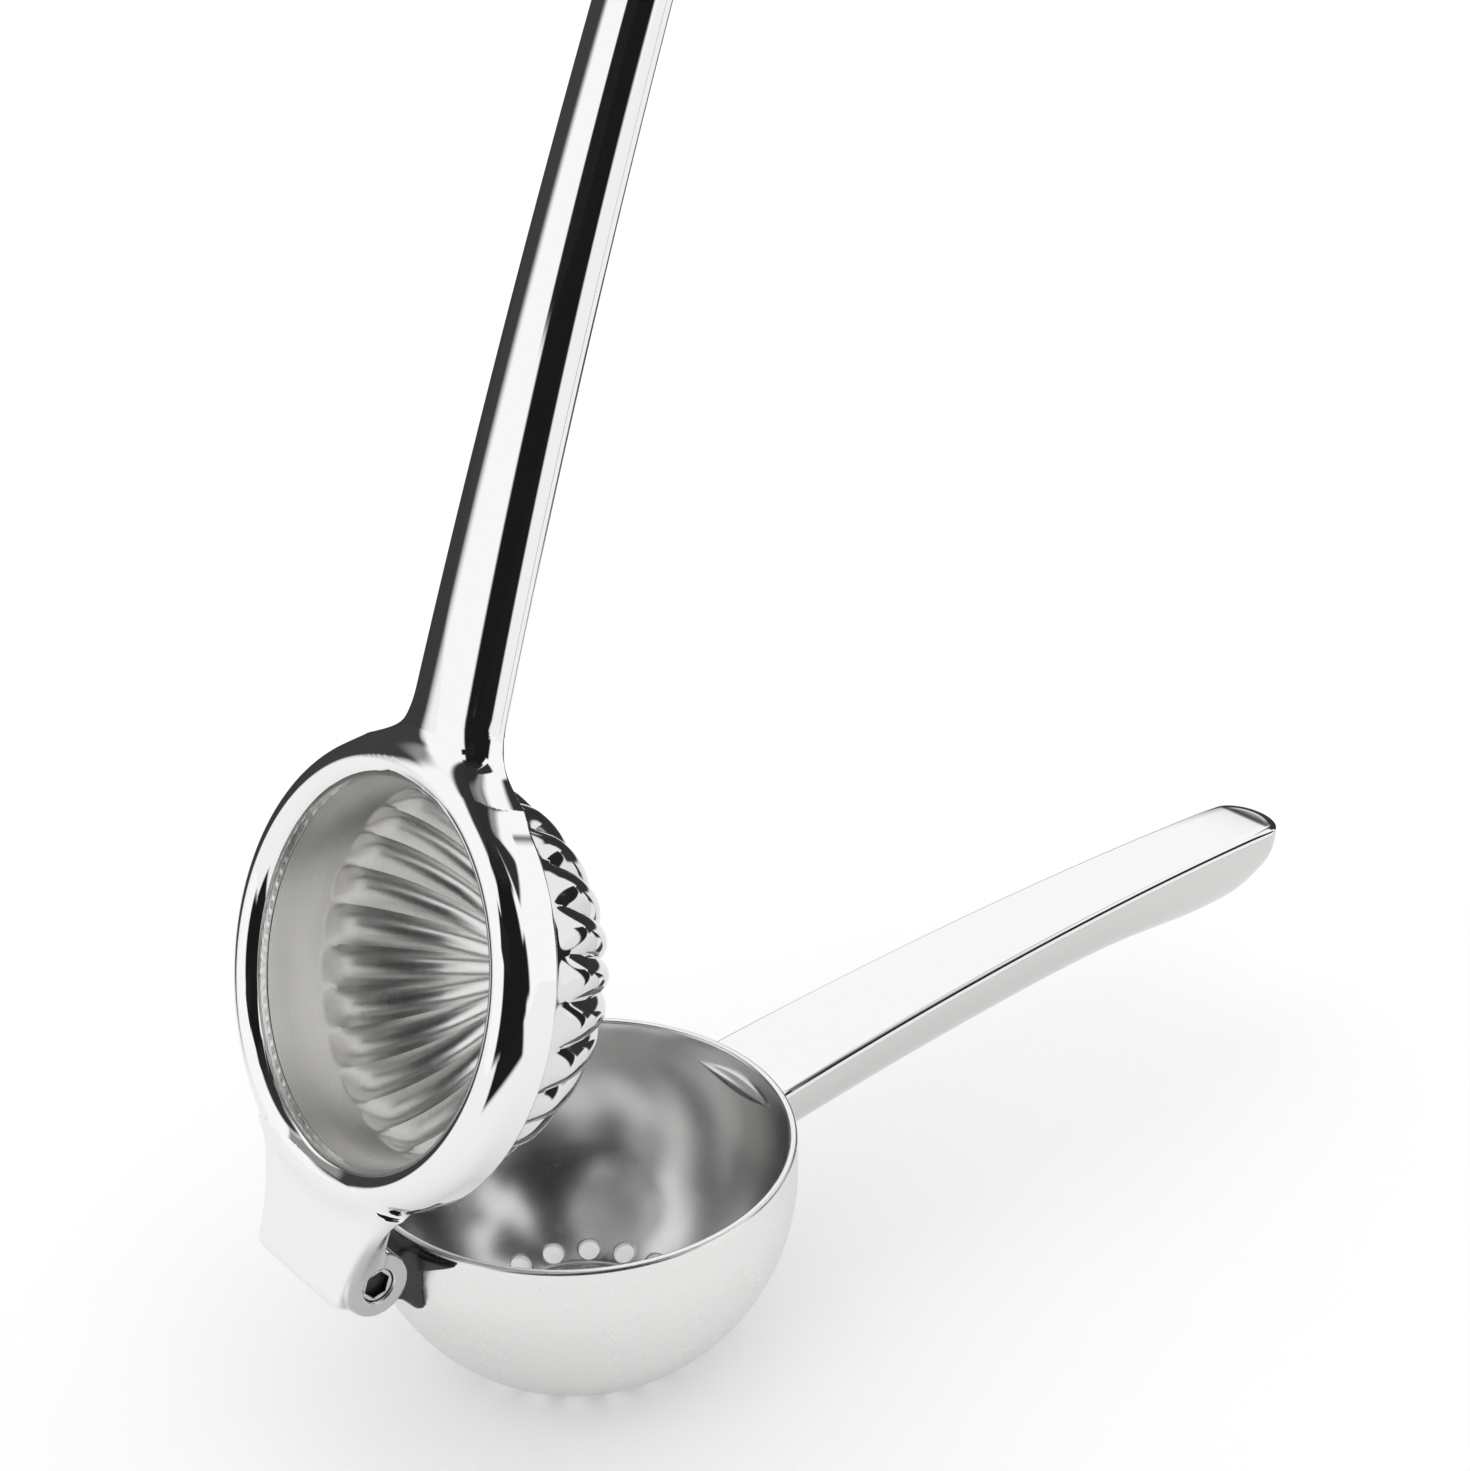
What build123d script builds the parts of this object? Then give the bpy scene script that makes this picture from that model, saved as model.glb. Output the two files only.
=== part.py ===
from build123d import *
import math
import os

# Hinged lemon squeezer in polished stainless steel, in millimetres, +Z up.
# The row frame has its origin at the centre of the bowl's flat foot, with +X along the
# bowl's handle and the hinge axis along Y. Every piece is first drawn in the rim frame,
# whose origin is the centre of the bowl's rim plane, with the press arm shut.

# ---------------------------------------------------------------- bowl
bowl_outer_radius = 38.0
bowl_wall = 1.5
bowl_straight = 6.7  # height of the straight band under the rim
foot_radius = 16.0  # flat the bowl stands on
foot_blend = 4.0  # outside radius between the foot and the round wall
rim_round = 0.5

juice_hole_radius = 1.9
inner_hole_count = 6
inner_hole_circle = 6.5
middle_hole_count = 12
middle_hole_circle = 12.4
outer_hole_count = 18
outer_hole_angle = 31.0  # from the downward axis of the round wall, degrees

# ---------------------------------------------------------------- hinge
pin_to_axis = 47.9  # hinge pin to the bowl's axis
knuckle_radius = 4.6
knuckle_half_width = 7.0
lug_top_drop = 0.8  # top of the lug's web under the rim plane
lug_depth = 12.5  # foot of the web on the bowl wall under the rim plane
saddle_thickness = 1.2
saddle_half_width = 16.0
saddle_depth = 4.8

block_length = 4.4  # from the pin to the block's outer end
block_half_width = 12.7
block_top = 7.1
block_flare_radius = 30.0
flare_web = 3.2  # thickness of the flared web beside the block
block_edge_round = 1.8
lobe_radius = 5.5
slot_clearance = 0.4  # round the knuckle, inside the block

washer_thickness = 0.5
washer_outer_radius = 4.3
washer_play = 0.05  # on each face of a washer

pin_radius = 2.3
pin_running_fit = 0.04
pin_head_radius = 2.8
pin_head_length = 1.8
pin_head_fit = 0.1
pin_head_sink = 0.4  # the heads lie this far under the cheek faces
screw_radius = 1.5
screw_fit = 0.04
screw_engagement = 9.0
thread_runout = 1.0  # thread left free under the screw's end
socket_across_flats = 4.0
socket_depth = 1.3

# ---------------------------------------------------------------- press arm
closed_gap = 0.2  # ring over rim when the arm is shut
ring_outer_radius = 37.2
ring_crown_radius = 33.3
ring_crown_height = 9.3
ring_shoulder_height = 4.1  # where the outer wall turns into the crown
ring_lip_radius = 30.3
ring_lip_height = 6.3
ring_edge_round = 0.7
ring_overlap = 1.0  # how far the block and the neck run into the ring's crown
ring_turns = range(0, 91, 15)  # points on each quarter of the crown, degrees

cup_outer_radius = 31.8
cup_wall = 1.2
cup_straight_end = 1.9  # height where the straight band turns round
cup_rim_height = 5.1
flute_count = 26
flute_height = 2.0
flute_start_angle = 77.0  # from the cup's downward axis, degrees
flute_end_angle = 7.0
flute_rise = 14.0  # angle over which a flute grows to its full height, degrees
flute_least = 0.05  # share of that growth that a flute starts with
flute_angles = (flute_start_angle, 73, 68, 62, 52, 40, 28, 16, flute_end_angle)
flute_share = 0.9  # largest height of a flute, as a share of its half width

neck_flare_radius = 12.0
handle_joint = 43.0  # where the hollow handle meets the cast neck
tang_length = 9.0
tang_root = 2.0  # length of the tang that is cast into the neck
tang_play = 0.2

rest_opening = 68.9  # the arm's opening in the drawn pose, degrees

# ---------------------------------------------------------------- handles
handle_tip = 180.0
handle_wall = 1.2
plate_thickness = 1.5
plate_edge_round = 0.8
tip_round_length = 5.6  # length of the rounded end in plan
section_power = 2.4  # exponent of the D-section's curve
section_count = 11  # sections along the even part of a handle
section_steps = 16  # steps of the curve round one D-section
neck_steps = 8  # steps between sections along the cast neck
tang_steps = 7  # steps between sections along the tang
tip_turns = (0.0, 30.0, 52.0, 68.0, 78.0)  # where the last sections stand on the tip's arc, degrees
arc_share = 0.95  # largest share of a fillet's radius that a flare uses

lower_half_widths = (10.7, 8.8, 7.4)  # at the bowl, halfway and at the tip
lower_face_heights = (-2.9, 1.1, 0.3)
lower_depth = 11.5  # from the seam under the plate to the keel
lower_swell = 2.6
lower_swell_place = 158.0
lower_swell_length = 22.0
lower_tip_sweep = 15.0  # length over which the keel rises to the tip
lower_root_flare = 3.0

upper_half_widths = (9.4, 7.3, 6.1)
upper_face_heights = (-0.2, 1.7, 1.1)
upper_depths = (6.4, 6.3, 5.0)
upper_tip_sweep = 16.0

# ---------------------------------------------------------------- worked out
foot_drop = foot_blend + math.sqrt((bowl_outer_radius - foot_blend) ** 2 - foot_radius**2)
rim_height = bowl_straight + foot_drop
slot_half_width = knuckle_half_width + washer_thickness + 2 * washer_play
ring_bottom = closed_gap


def through(values, x):
    """Parabola through three values, at the bowl wall, halfway and at the handle's tip."""
    first, middle, last = values
    s = (x - bowl_outer_radius) / (handle_tip - bowl_outer_radius)
    return first * (1 - s) * (1 - 2 * s) + 4 * middle * s * (1 - s) + last * s * (2 * s - 1)


def end_rounding(x, length):
    """Quarter ellipse that closes a shape over its last stretch before the tip."""
    start = handle_tip - length
    if x <= start:
        return 1.0
    return math.sqrt(max(0.0, 1 - ((x - start) / length) ** 2))


def flare(x, half_width, circle_radius, fillet_radius):
    """Extra half width where a straight side runs into a circle through a concave arc."""
    reach = circle_radius + fillet_radius
    tangent_x = math.sqrt(reach**2 - (half_width + fillet_radius) ** 2)
    run = min(max(0.0, tangent_x - x), arc_share * fillet_radius)
    return fillet_radius - math.sqrt(fillet_radius**2 - run**2)


def skin(wires):
    """Smooth solid through a row of closed wires."""
    return Solid.make_loft(wires, False)


def even_places(first, sweep):
    """Even places along a handle, from its root to the start of the keel's rise to the tip."""
    step = (handle_tip - sweep - first) / section_count
    return [first + step * i for i in range(section_count + 1)]


def tip_places(sweep):
    """Places that crowd towards a handle's rounded tip."""
    places = [
        handle_tip - tip_round_length * (1 - math.sin(math.radians(turn))) for turn in tip_turns
    ]
    return [handle_tip - (sweep + 2 * tip_round_length) / 3] + places


# ---------------------------------------------------------------- bowl
def bowl_form(inset):
    """The bowl as a filled form, with its wall drawn inwards by the inset."""
    radius = bowl_outer_radius - inset
    blend = foot_blend - inset
    centre_z = -bowl_straight
    foot_z = centre_z - foot_drop + inset
    blend_z = foot_z + blend
    turn = math.atan2(centre_z - blend_z, foot_radius)
    touch = (radius * math.cos(turn), 0, centre_z - radius * math.sin(turn))
    half_turn = (turn + math.pi / 2) / 2
    outline = [
        Line((0, 0, 0), (radius, 0, 0)),
        Line((radius, 0, 0), (radius, 0, centre_z)),
        ThreePointArc(
            (radius, 0, centre_z),
            (radius * math.cos(turn / 2), 0, centre_z - radius * math.sin(turn / 2)),
            touch,
        ),
        ThreePointArc(
            touch,
            (foot_radius + blend * math.cos(half_turn), 0, blend_z - blend * math.sin(half_turn)),
            (foot_radius, 0, foot_z),
        ),
        Line((foot_radius, 0, foot_z), (0, 0, foot_z)),
        Line((0, 0, foot_z), (0, 0, 0)),
    ]
    return revolve(make_face(outline), Axis.Z)


def juice_holes():
    """Drills for the rings of holes in the foot and the first ring on the round wall."""
    foot_z = -rim_height
    length = 4 * bowl_wall
    drills = []
    for count, circle in (
        (inner_hole_count, inner_hole_circle),
        (middle_hole_count, middle_hole_circle),
    ):
        for i in range(count):
            angle = 360 * i / count
            drills.append(Rot(0, 0, angle) * Pos(circle, 0, foot_z) * Cylinder(juice_hole_radius, length))
    for i in range(outer_hole_count):
        angle = 360 * (i + 0.5) / outer_hole_count
        aim = Rot(0, 0, angle) * Pos(0, 0, -bowl_straight) * Rot(0, -outer_hole_angle, 0)
        drills.append(aim * Pos(0, 0, bowl_wall / 2 - bowl_outer_radius) * Cylinder(juice_hole_radius, length))
    return drills


def bowl_cup():
    """Pressed bowl with a rounded rim and its juice holes."""
    cavity = bowl_form(bowl_wall) + Pos(0, 0, 1) * Cylinder(bowl_outer_radius - bowl_wall, 2)
    cup = bowl_form(0) - cavity
    cup = fillet(cup.edges().group_by(Axis.Z)[-1], rim_round)
    return cup - juice_holes()


# ---------------------------------------------------------------- hinge
def along_pin(radius, start_y, end_y):
    """Cylinder on the hinge axis, between two places along Y."""
    middle = (start_y + end_y) / 2
    return Pos(-pin_to_axis, middle, 0) * Rot(90, 0, 0) * Cylinder(radius, abs(end_y - start_y))


def bowl_lug():
    """Knuckle on the bowl, with its web and the saddle that is welded to the bowl wall."""
    width = 2 * knuckle_half_width
    foot = (-bowl_outer_radius + bowl_wall, -lug_depth)
    reach = math.hypot(foot[0] + pin_to_axis, foot[1])
    aim = math.atan2(foot[1], foot[0] + pin_to_axis) - math.acos(knuckle_radius / reach)
    tangent = (-pin_to_axis + knuckle_radius * math.cos(aim), knuckle_radius * math.sin(aim))
    web_outline = Polyline(
        (-pin_to_axis, 0, 0),
        (tangent[0], 0, tangent[1]),
        (foot[0], 0, foot[1]),
        (foot[0], 0, -lug_top_drop),
        (-pin_to_axis, 0, -lug_top_drop),
        (-pin_to_axis, 0, 0),
    )
    web = extrude(make_face(web_outline), amount=knuckle_half_width, dir=(0, 1, 0), both=True)
    skirt = bowl_form(-saddle_thickness) - bowl_form(0)
    side = knuckle_half_width + saddle_thickness
    saddle_outline = Polyline(
        (-bowl_outer_radius, -saddle_half_width, -lug_top_drop),
        (-bowl_outer_radius, -side, -saddle_depth),
        (-bowl_outer_radius, -knuckle_half_width, -lug_depth),
        (-bowl_outer_radius, knuckle_half_width, -lug_depth),
        (-bowl_outer_radius, side, -saddle_depth),
        (-bowl_outer_radius, saddle_half_width, -lug_top_drop),
        (-bowl_outer_radius, -saddle_half_width, -lug_top_drop),
    )
    saddle = skirt & extrude(
        make_face(saddle_outline), amount=bowl_outer_radius / 2, dir=(1, 0, 0), both=True
    )
    knuckle = along_pin(knuckle_radius, -width / 2, width / 2)
    lug = knuckle + (web - bowl_form(0)) + saddle
    return lug - along_pin(pin_radius + pin_running_fit, -width, width)


def thrust_washers():
    """The two thin washers between the knuckle and the cheeks."""
    start = knuckle_half_width + washer_play
    end = start + washer_thickness
    hole = along_pin(pin_radius + pin_running_fit, -2 * end, 2 * end)
    return [along_pin(washer_outer_radius, side * start, side * end) - hole for side in (-1, 1)]


def head(side):
    """Round head of a pin half, on the cheek at the given side, with its hexagon socket."""
    face = side * (block_half_width - pin_head_sink)
    inner = face - side * pin_head_length
    socket = Pos(-pin_to_axis, face, 0) * Rot(90, 0, 0) * extrude(
        RegularPolygon(socket_across_flats / 2, 6, major_radius=False), socket_depth, both=True
    )
    return along_pin(pin_head_radius, inner, face) - socket


def pivot_barrel():
    """Sleeve nut that the knuckle turns on, with its head on the -Y cheek."""
    shoulder = -(block_half_width - pin_head_sink - pin_head_length)
    end = -shoulder - 2 * screw_fit
    sleeve = along_pin(pin_radius, shoulder, end)
    thread = along_pin(screw_radius, end, end - screw_engagement - thread_runout)
    return head(-1) + sleeve - thread


def pivot_screw():
    """Screw that closes the barrel from the +Y cheek."""
    shoulder = block_half_width - pin_head_sink - pin_head_length
    return head(1) + along_pin(screw_radius - screw_fit, shoulder - screw_engagement, shoulder)


# ---------------------------------------------------------------- handles
class Handle:
    """Hollow handle: a D-section trough closed by a flat plate, drawn along +X.

    side is +1 when the flat plate faces up and the trough hangs below it.
    """

    def __init__(self, side, half_widths, face_heights, root, sweep):
        self.side = side
        self.half_widths = half_widths
        self.face_heights = face_heights
        self.root = root
        self.sweep = sweep

    def depth(self, x):
        raise NotImplementedError

    def root_flare(self, x):
        raise NotImplementedError

    def half_width(self, x):
        return through(self.half_widths, x) * end_rounding(x, tip_round_length) + self.root_flare(x)

    def face(self, x):
        return through(self.face_heights, x)

    def section(self, x, inset=0.0, skirt=0.0):
        """D-shaped wire at x. The skirt moves its straight side past the seam, or into the D."""
        lift = min(skirt, 0.0)
        seam = self.face(x) - self.side * plate_thickness
        base = seam + self.side * lift
        half = self.half_width(x) - inset
        depth = self.depth(x) - inset + lift
        points = []
        for i in range(section_steps + 1):
            turn = math.pi * i / section_steps
            across = -math.copysign(abs(math.cos(turn)) ** (2 / section_power), math.cos(turn))
            along = math.sin(turn) ** (2 / section_power)
            points.append((x, half * across, base - self.side * depth * along))
        curve = Spline(points, tangents=((0, 0, -self.side), (0, 0, self.side)))
        if skirt <= 0:
            return Wire([curve, Line(points[-1], points[0])])
        low = seam + self.side * skirt
        ends = [(x, half, low), (x, -half, low)]
        return Wire([curve, Line(points[-1], ends[0]), Line(ends[0], ends[1]), Line(ends[1], points[0])])

    def plate_section(self, x):
        """Wire of the plate at x, with the edges of its flat face rounded."""
        face = self.face(x)
        seam = face - self.side * plate_thickness
        half = self.half_width(x)
        edge = face - self.side * plate_edge_round
        flat = half - plate_edge_round
        slant = plate_edge_round * (1 - math.sqrt(0.5))
        arcs = [
            ThreePointArc(
                (x, y * half, edge),
                (x, y * (half - slant), face - self.side * slant),
                (x, y * flat, face),
            )
            for y in (-1, 1)
        ]
        return Wire(
            [
                arcs[0],
                Line((x, -flat, face), (x, flat, face)),
                arcs[1],
                Line((x, half, edge), (x, half, seam)),
                Line((x, half, seam), (x, -half, seam)),
                Line((x, -half, seam), (x, -half, edge)),
            ]
        )

    def places(self):
        return even_places(self.root, self.sweep) + tip_places(self.sweep)

    def body(self):
        return skin([self.section(x) for x in self.places()])

    def cavity(self):
        places = even_places(self.root - handle_wall, self.sweep) + [handle_tip - tip_round_length]
        return skin([self.section(x, handle_wall, plate_thickness) for x in places])

    def shell(self):
        return self.body() - self.cavity()

    def plate(self):
        return skin([self.plate_section(x) for x in self.places()])


class LowerHandle(Handle):
    """The bowl's handle, with its flat face up and a swell near the tip."""

    def __init__(self):
        root = bowl_outer_radius - 1.5 * bowl_wall
        super().__init__(1, lower_half_widths, lower_face_heights, root, lower_tip_sweep)

    def depth(self, x):
        swell = lower_swell * math.exp(-(((x - lower_swell_place) / lower_swell_length) ** 2))
        return (lower_depth + swell) * end_rounding(x, self.sweep)

    def root_flare(self, x):
        return flare(x, lower_half_widths[0], bowl_outer_radius, lower_root_flare)


class UpperHandle(Handle):
    """The press arm's handle, with its flat face down."""

    def __init__(self):
        super().__init__(-1, upper_half_widths, upper_face_heights, handle_joint, upper_tip_sweep)

    def depth(self, x):
        return through(upper_depths, x) * end_rounding(x, self.sweep)

    def root_flare(self, x):
        return flare(x, upper_half_widths[0], ring_outer_radius, neck_flare_radius)

    def neck_section(self, x):
        """Full section of the cast neck: the D with its sides carried down to the flat face."""
        return self.section(x, 0.0, plate_thickness)

    def neck(self):
        start = ring_crown_radius
        step = (handle_joint - start) / neck_steps
        below = Pos(start, 0, ring_bottom - handle_joint) * Box(
            2 * handle_joint, 2 * handle_joint, 2 * handle_joint
        )
        return skin([self.neck_section(start + step * i) for i in range(neck_steps + 1)]) - below

    def tang(self):
        """Tongue on the neck that plugs into the hollow handle."""
        root = handle_joint - tang_root
        step = (tang_length + tang_root) / tang_steps
        places = [root + step * i for i in range(tang_steps + 1)]
        return skin([self.section(x, handle_wall + tang_play, -tang_play) for x in places])


# ---------------------------------------------------------------- press arm
def ring():
    """Cast ring: rounded crown, near-vertical wall and a lip over the cup's edge."""
    outer_width = ring_outer_radius - ring_crown_radius
    outer_rise = ring_crown_height - ring_shoulder_height
    inner_width = ring_crown_radius - ring_lip_radius
    inner_rise = ring_crown_height - ring_lip_height
    slant = ring_edge_round * (1 - math.sqrt(0.5))
    outline = [
        Line((cup_outer_radius, 0, ring_bottom), (ring_outer_radius - ring_edge_round, 0, ring_bottom)),
        ThreePointArc(
            (ring_outer_radius - ring_edge_round, 0, ring_bottom),
            (ring_outer_radius - slant, 0, ring_bottom + slant),
            (ring_outer_radius, 0, ring_bottom + ring_edge_round),
        ),
        Line((ring_outer_radius, 0, ring_bottom + ring_edge_round), (ring_outer_radius, 0, ring_shoulder_height)),
        Spline(
            [
                (
                    ring_crown_radius + outer_width * math.cos(math.radians(turn)),
                    0,
                    ring_shoulder_height + outer_rise * math.sin(math.radians(turn)),
                )
                for turn in ring_turns
            ],
            tangents=((0, 0, 1), (-1, 0, 0)),
        ),
        Spline(
            [
                (
                    ring_crown_radius - inner_width * math.sin(math.radians(turn)),
                    0,
                    ring_lip_height + inner_rise * math.cos(math.radians(turn)),
                )
                for turn in ring_turns
            ],
            tangents=((-1, 0, 0), (0, 0, -1)),
        ),
        Line((ring_lip_radius, 0, ring_lip_height), (ring_lip_radius, 0, cup_rim_height)),
        Line((ring_lip_radius, 0, cup_rim_height), (cup_outer_radius, 0, cup_rim_height)),
        Line((cup_outer_radius, 0, cup_rim_height), (cup_outer_radius, 0, ring_bottom)),
    ]
    return revolve(make_face(outline), Axis.Z)


def hinge_block():
    """Block at the ring's hinge side, with its two cheeks and round lobes."""
    end_x = -(pin_to_axis + block_length)
    inner_x = -ring_crown_radius
    height = block_top - ring_bottom
    core = Pos((end_x + inner_x) / 2, 0, ring_bottom + height / 2) * Box(
        inner_x - end_x, 2 * block_half_width, height
    )
    reach = ring_outer_radius + block_flare_radius
    centre_y = block_half_width + block_flare_radius
    centre_x = -math.sqrt(reach**2 - centre_y**2)
    touch = ring_outer_radius / reach
    flare_bottom = block_top - flare_web
    web = Pos((centre_x + touch * centre_x) / 2, 0, flare_bottom + flare_web / 2) * Box(
        abs(centre_x) * (1 - touch), 2 * touch * centre_y, flare_web
    )
    for side in (-1, 1):
        web -= Pos(centre_x, side * centre_y, block_top) * Cylinder(block_flare_radius, 2 * height)
    block = core + web
    upper = [edge for edge in block.edges() if edge.center().Z > block_top - 0.01]
    outer = [edge for edge in upper if edge.center().X < touch * centre_x - 0.01]
    block = fillet(outer, block_edge_round)
    lobes = [
        along_pin(lobe_radius, side * slot_half_width, side * block_half_width) for side in (-1, 1)
    ]
    return block + lobes


def knuckle_slot():
    """Space that the knuckle, its web and the washers need inside the block."""
    radius = knuckle_radius + slot_clearance
    bore = along_pin(radius, -slot_half_width, slot_half_width)
    gate = Pos(-pin_to_axis, 0, -lobe_radius) * Box(2 * radius, 2 * slot_half_width, 2 * lobe_radius)
    return bore + gate


def pin_holes():
    """Bore through both cheeks and the two sinks for the pin's heads."""
    bore = along_pin(pin_radius + pin_running_fit, -2 * block_half_width, 2 * block_half_width)
    sink = block_half_width - pin_head_sink - pin_head_length
    sinks = [
        along_pin(pin_head_radius + pin_head_fit, side * sink, side * 2 * block_half_width)
        for side in (-1, 1)
    ]
    return [bore] + sinks


def press_frame():
    """One casting: ring, hinge block, neck and the tang inside the handle."""
    arm = UpperHandle()
    ring_space = Cylinder(ring_crown_radius - ring_overlap, 4 * ring_crown_height)
    frame = (hinge_block() + arm.neck()) - ring_space
    frame = frame + ring() + arm.tang()
    return frame - knuckle_slot() - pin_holes()


def flute_section(angle, inset):
    """Scalloped wire round the cup at an angle from its downward axis."""
    radius = (cup_outer_radius - inset) * math.sin(math.radians(angle))
    z = cup_straight_end - (cup_outer_radius - inset) * math.cos(math.radians(angle))
    grown = min(1.0, (flute_start_angle - angle) / flute_rise)
    height = flute_height * math.sin(math.pi / 2 * max(grown, flute_least))
    crest = radius + min(height, flute_share * radius * math.pi / flute_count)
    arcs = []
    for i in range(flute_count):
        crease, top, after = [2 * math.pi * (i + part) / flute_count for part in (-0.5, 0.0, 0.5)]
        arcs.append(
            ThreePointArc(
                (radius * math.cos(crease), radius * math.sin(crease), z),
                (crest * math.cos(top), crest * math.sin(top), z),
                (radius * math.cos(after), radius * math.sin(after), z),
            )
        )
    return Wire(arcs)


def cup_form(inset):
    """The fluted cup as a filled form, with its wall drawn inwards by the inset."""
    radius = cup_outer_radius - inset
    band = Pos(0, 0, (cup_rim_height + cup_straight_end) / 2) * Cylinder(
        radius, cup_rim_height - cup_straight_end
    )
    dome = Pos(0, 0, cup_straight_end) * Sphere(radius)
    dome &= Pos(0, 0, cup_straight_end - radius) * Box(3 * radius, 3 * radius, 2 * radius)
    flutes = skin([flute_section(angle, inset) for angle in flute_angles])
    return band + dome + flutes


def press_cup():
    """Fluted pressing cup, one pressed sheet of even thickness."""
    return cup_form(0) - cup_form(cup_wall)


# ---------------------------------------------------------------- assembly
def in_row(piece):
    """From the rim frame to the row frame."""
    return Pos(0, 0, rim_height) * piece


def opened(piece):
    """From the shut arm to the arm's drawn pose, then to the row frame."""
    hinge = Pos(-pin_to_axis, 0, 0)
    return in_row(hinge * Rot(0, -rest_opening, 0) * Pos(pin_to_axis, 0, 0) * piece)


def save(name, pieces):
    """Write one node: a solid, or a group of separate solids."""
    shape = pieces[0] if len(pieces) == 1 else Compound(children=list(pieces))
    export_step(shape, f"parts/{name}.step")


def main():
    os.makedirs("parts", exist_ok=True)
    lower = LowerHandle()
    upper = UpperHandle()
    bowl = bowl_form(0)
    lug = bowl_lug()
    save("bowl_cup", [in_row(bowl_cup())])
    save("bowl_lug", [in_row(lug)])
    save("bowl_handle_shell", [in_row(lower.shell() - bowl)])
    save("bowl_handle_plate", [in_row(lower.plate() - bowl)])
    save("press_frame", [opened(press_frame())])
    save("press_cup", [opened(press_cup())])
    save("press_handle_shell", [opened(upper.shell())])
    save("press_handle_plate", [opened(upper.plate())])
    save("pivot_barrel", [opened(pivot_barrel())])
    save("pivot_screw", [opened(pivot_screw())])
    save("thrust_washers", [opened(washer) for washer in thrust_washers()])


if __name__ == "__main__":
    main()
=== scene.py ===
"""A hinged lemon squeezer in polished steel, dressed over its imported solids.

Lengths in the pieces' classes are millimetres in the rim frame: the origin is the centre of the
bowl's rim, +X runs along the bowl's handle, +Y along the hinge pin and +Z up, with the press arm
shut. RowFrame turns such points into metres in the row frame, which the studio is laid out in.
"""

import logging
import math
from dataclasses import dataclass
from enum import Enum

import bmesh
import bpy
import numpy as np
from mathutils import Matrix, Vector

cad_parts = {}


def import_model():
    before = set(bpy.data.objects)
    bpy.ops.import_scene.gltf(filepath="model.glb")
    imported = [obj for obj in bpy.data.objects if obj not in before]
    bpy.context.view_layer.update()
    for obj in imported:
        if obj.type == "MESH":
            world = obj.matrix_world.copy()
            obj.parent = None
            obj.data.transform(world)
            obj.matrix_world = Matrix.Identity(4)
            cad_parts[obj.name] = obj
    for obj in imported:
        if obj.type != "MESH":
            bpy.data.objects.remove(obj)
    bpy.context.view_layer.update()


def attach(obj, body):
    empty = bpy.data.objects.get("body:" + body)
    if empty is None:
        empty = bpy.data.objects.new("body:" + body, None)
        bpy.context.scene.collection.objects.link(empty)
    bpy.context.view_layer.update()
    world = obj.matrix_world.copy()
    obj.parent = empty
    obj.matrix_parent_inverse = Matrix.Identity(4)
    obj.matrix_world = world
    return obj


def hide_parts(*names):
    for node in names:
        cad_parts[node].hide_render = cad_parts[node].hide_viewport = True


log = logging.getLogger("squeezer")

MILLIMETRE = 0.001
TURN = 2 * math.pi
JOINING_CELL = 5e-7  # metres
CELL_SHIFT = 0.23  # share of a cell


# ---------------------------------------------------------------- frame and meshes
class Body(Enum):
    """The two rigid bodies of the squeezer."""

    BOWL_ARM = "bowl_arm"
    PRESS_ARM = "press_arm"


@dataclass(frozen=True)
class RowFrame:
    """Where the rim frame and the opened press arm stand in the row frame.

    Args:
        rim_height: height of the rim over the foot.
        pin_to_axis: distance from the hinge pin to the bowl's axis.
        opening: the press arm's opening at rest, in degrees.
    """

    rim_height: float = 40.7
    pin_to_axis: float = 47.9
    opening: float = 68.9

    def place(self, points: np.ndarray, body: Body) -> np.ndarray:
        """Turns points of the press arm about the pin, raises all points, and scales them to metres.

        Args:
            points: array whose last axis is x, y, z in millimetres in the rim frame.
            body: the body that the points belong to.

        Returns:
            The points in metres in the row frame, in the same shape.
        """
        placed = np.array(points, dtype=float)
        if body is Body.PRESS_ARM:
            angle = math.radians(self.opening)
            reach = placed[..., 0] + self.pin_to_axis
            height = placed[..., 2].copy()
            placed[..., 0] = reach * math.cos(angle) - height * math.sin(angle) - self.pin_to_axis
            placed[..., 2] = reach * math.sin(angle) + height * math.cos(angle)
        placed[..., 2] += self.rim_height
        return placed * MILLIMETRE


ROW = RowFrame()


def spun(profile: np.ndarray, count: int) -> np.ndarray:
    """Profile of radius and height carried round the Z axis: x and y are the radius on a circle.

    Args:
        profile: array of shape (n, 2).
        count: places round the axis.

    Returns:
        Grid of shape (n, count, 3); the last column stands next to the first.
    """
    angle = np.linspace(0, TURN, count, endpoint=False)
    radius = profile[:, 0][:, None]
    height = np.broadcast_to(profile[:, 1][:, None], (len(profile), count))
    return np.stack([radius * np.cos(angle), radius * np.sin(angle), height], axis=-1)


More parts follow.
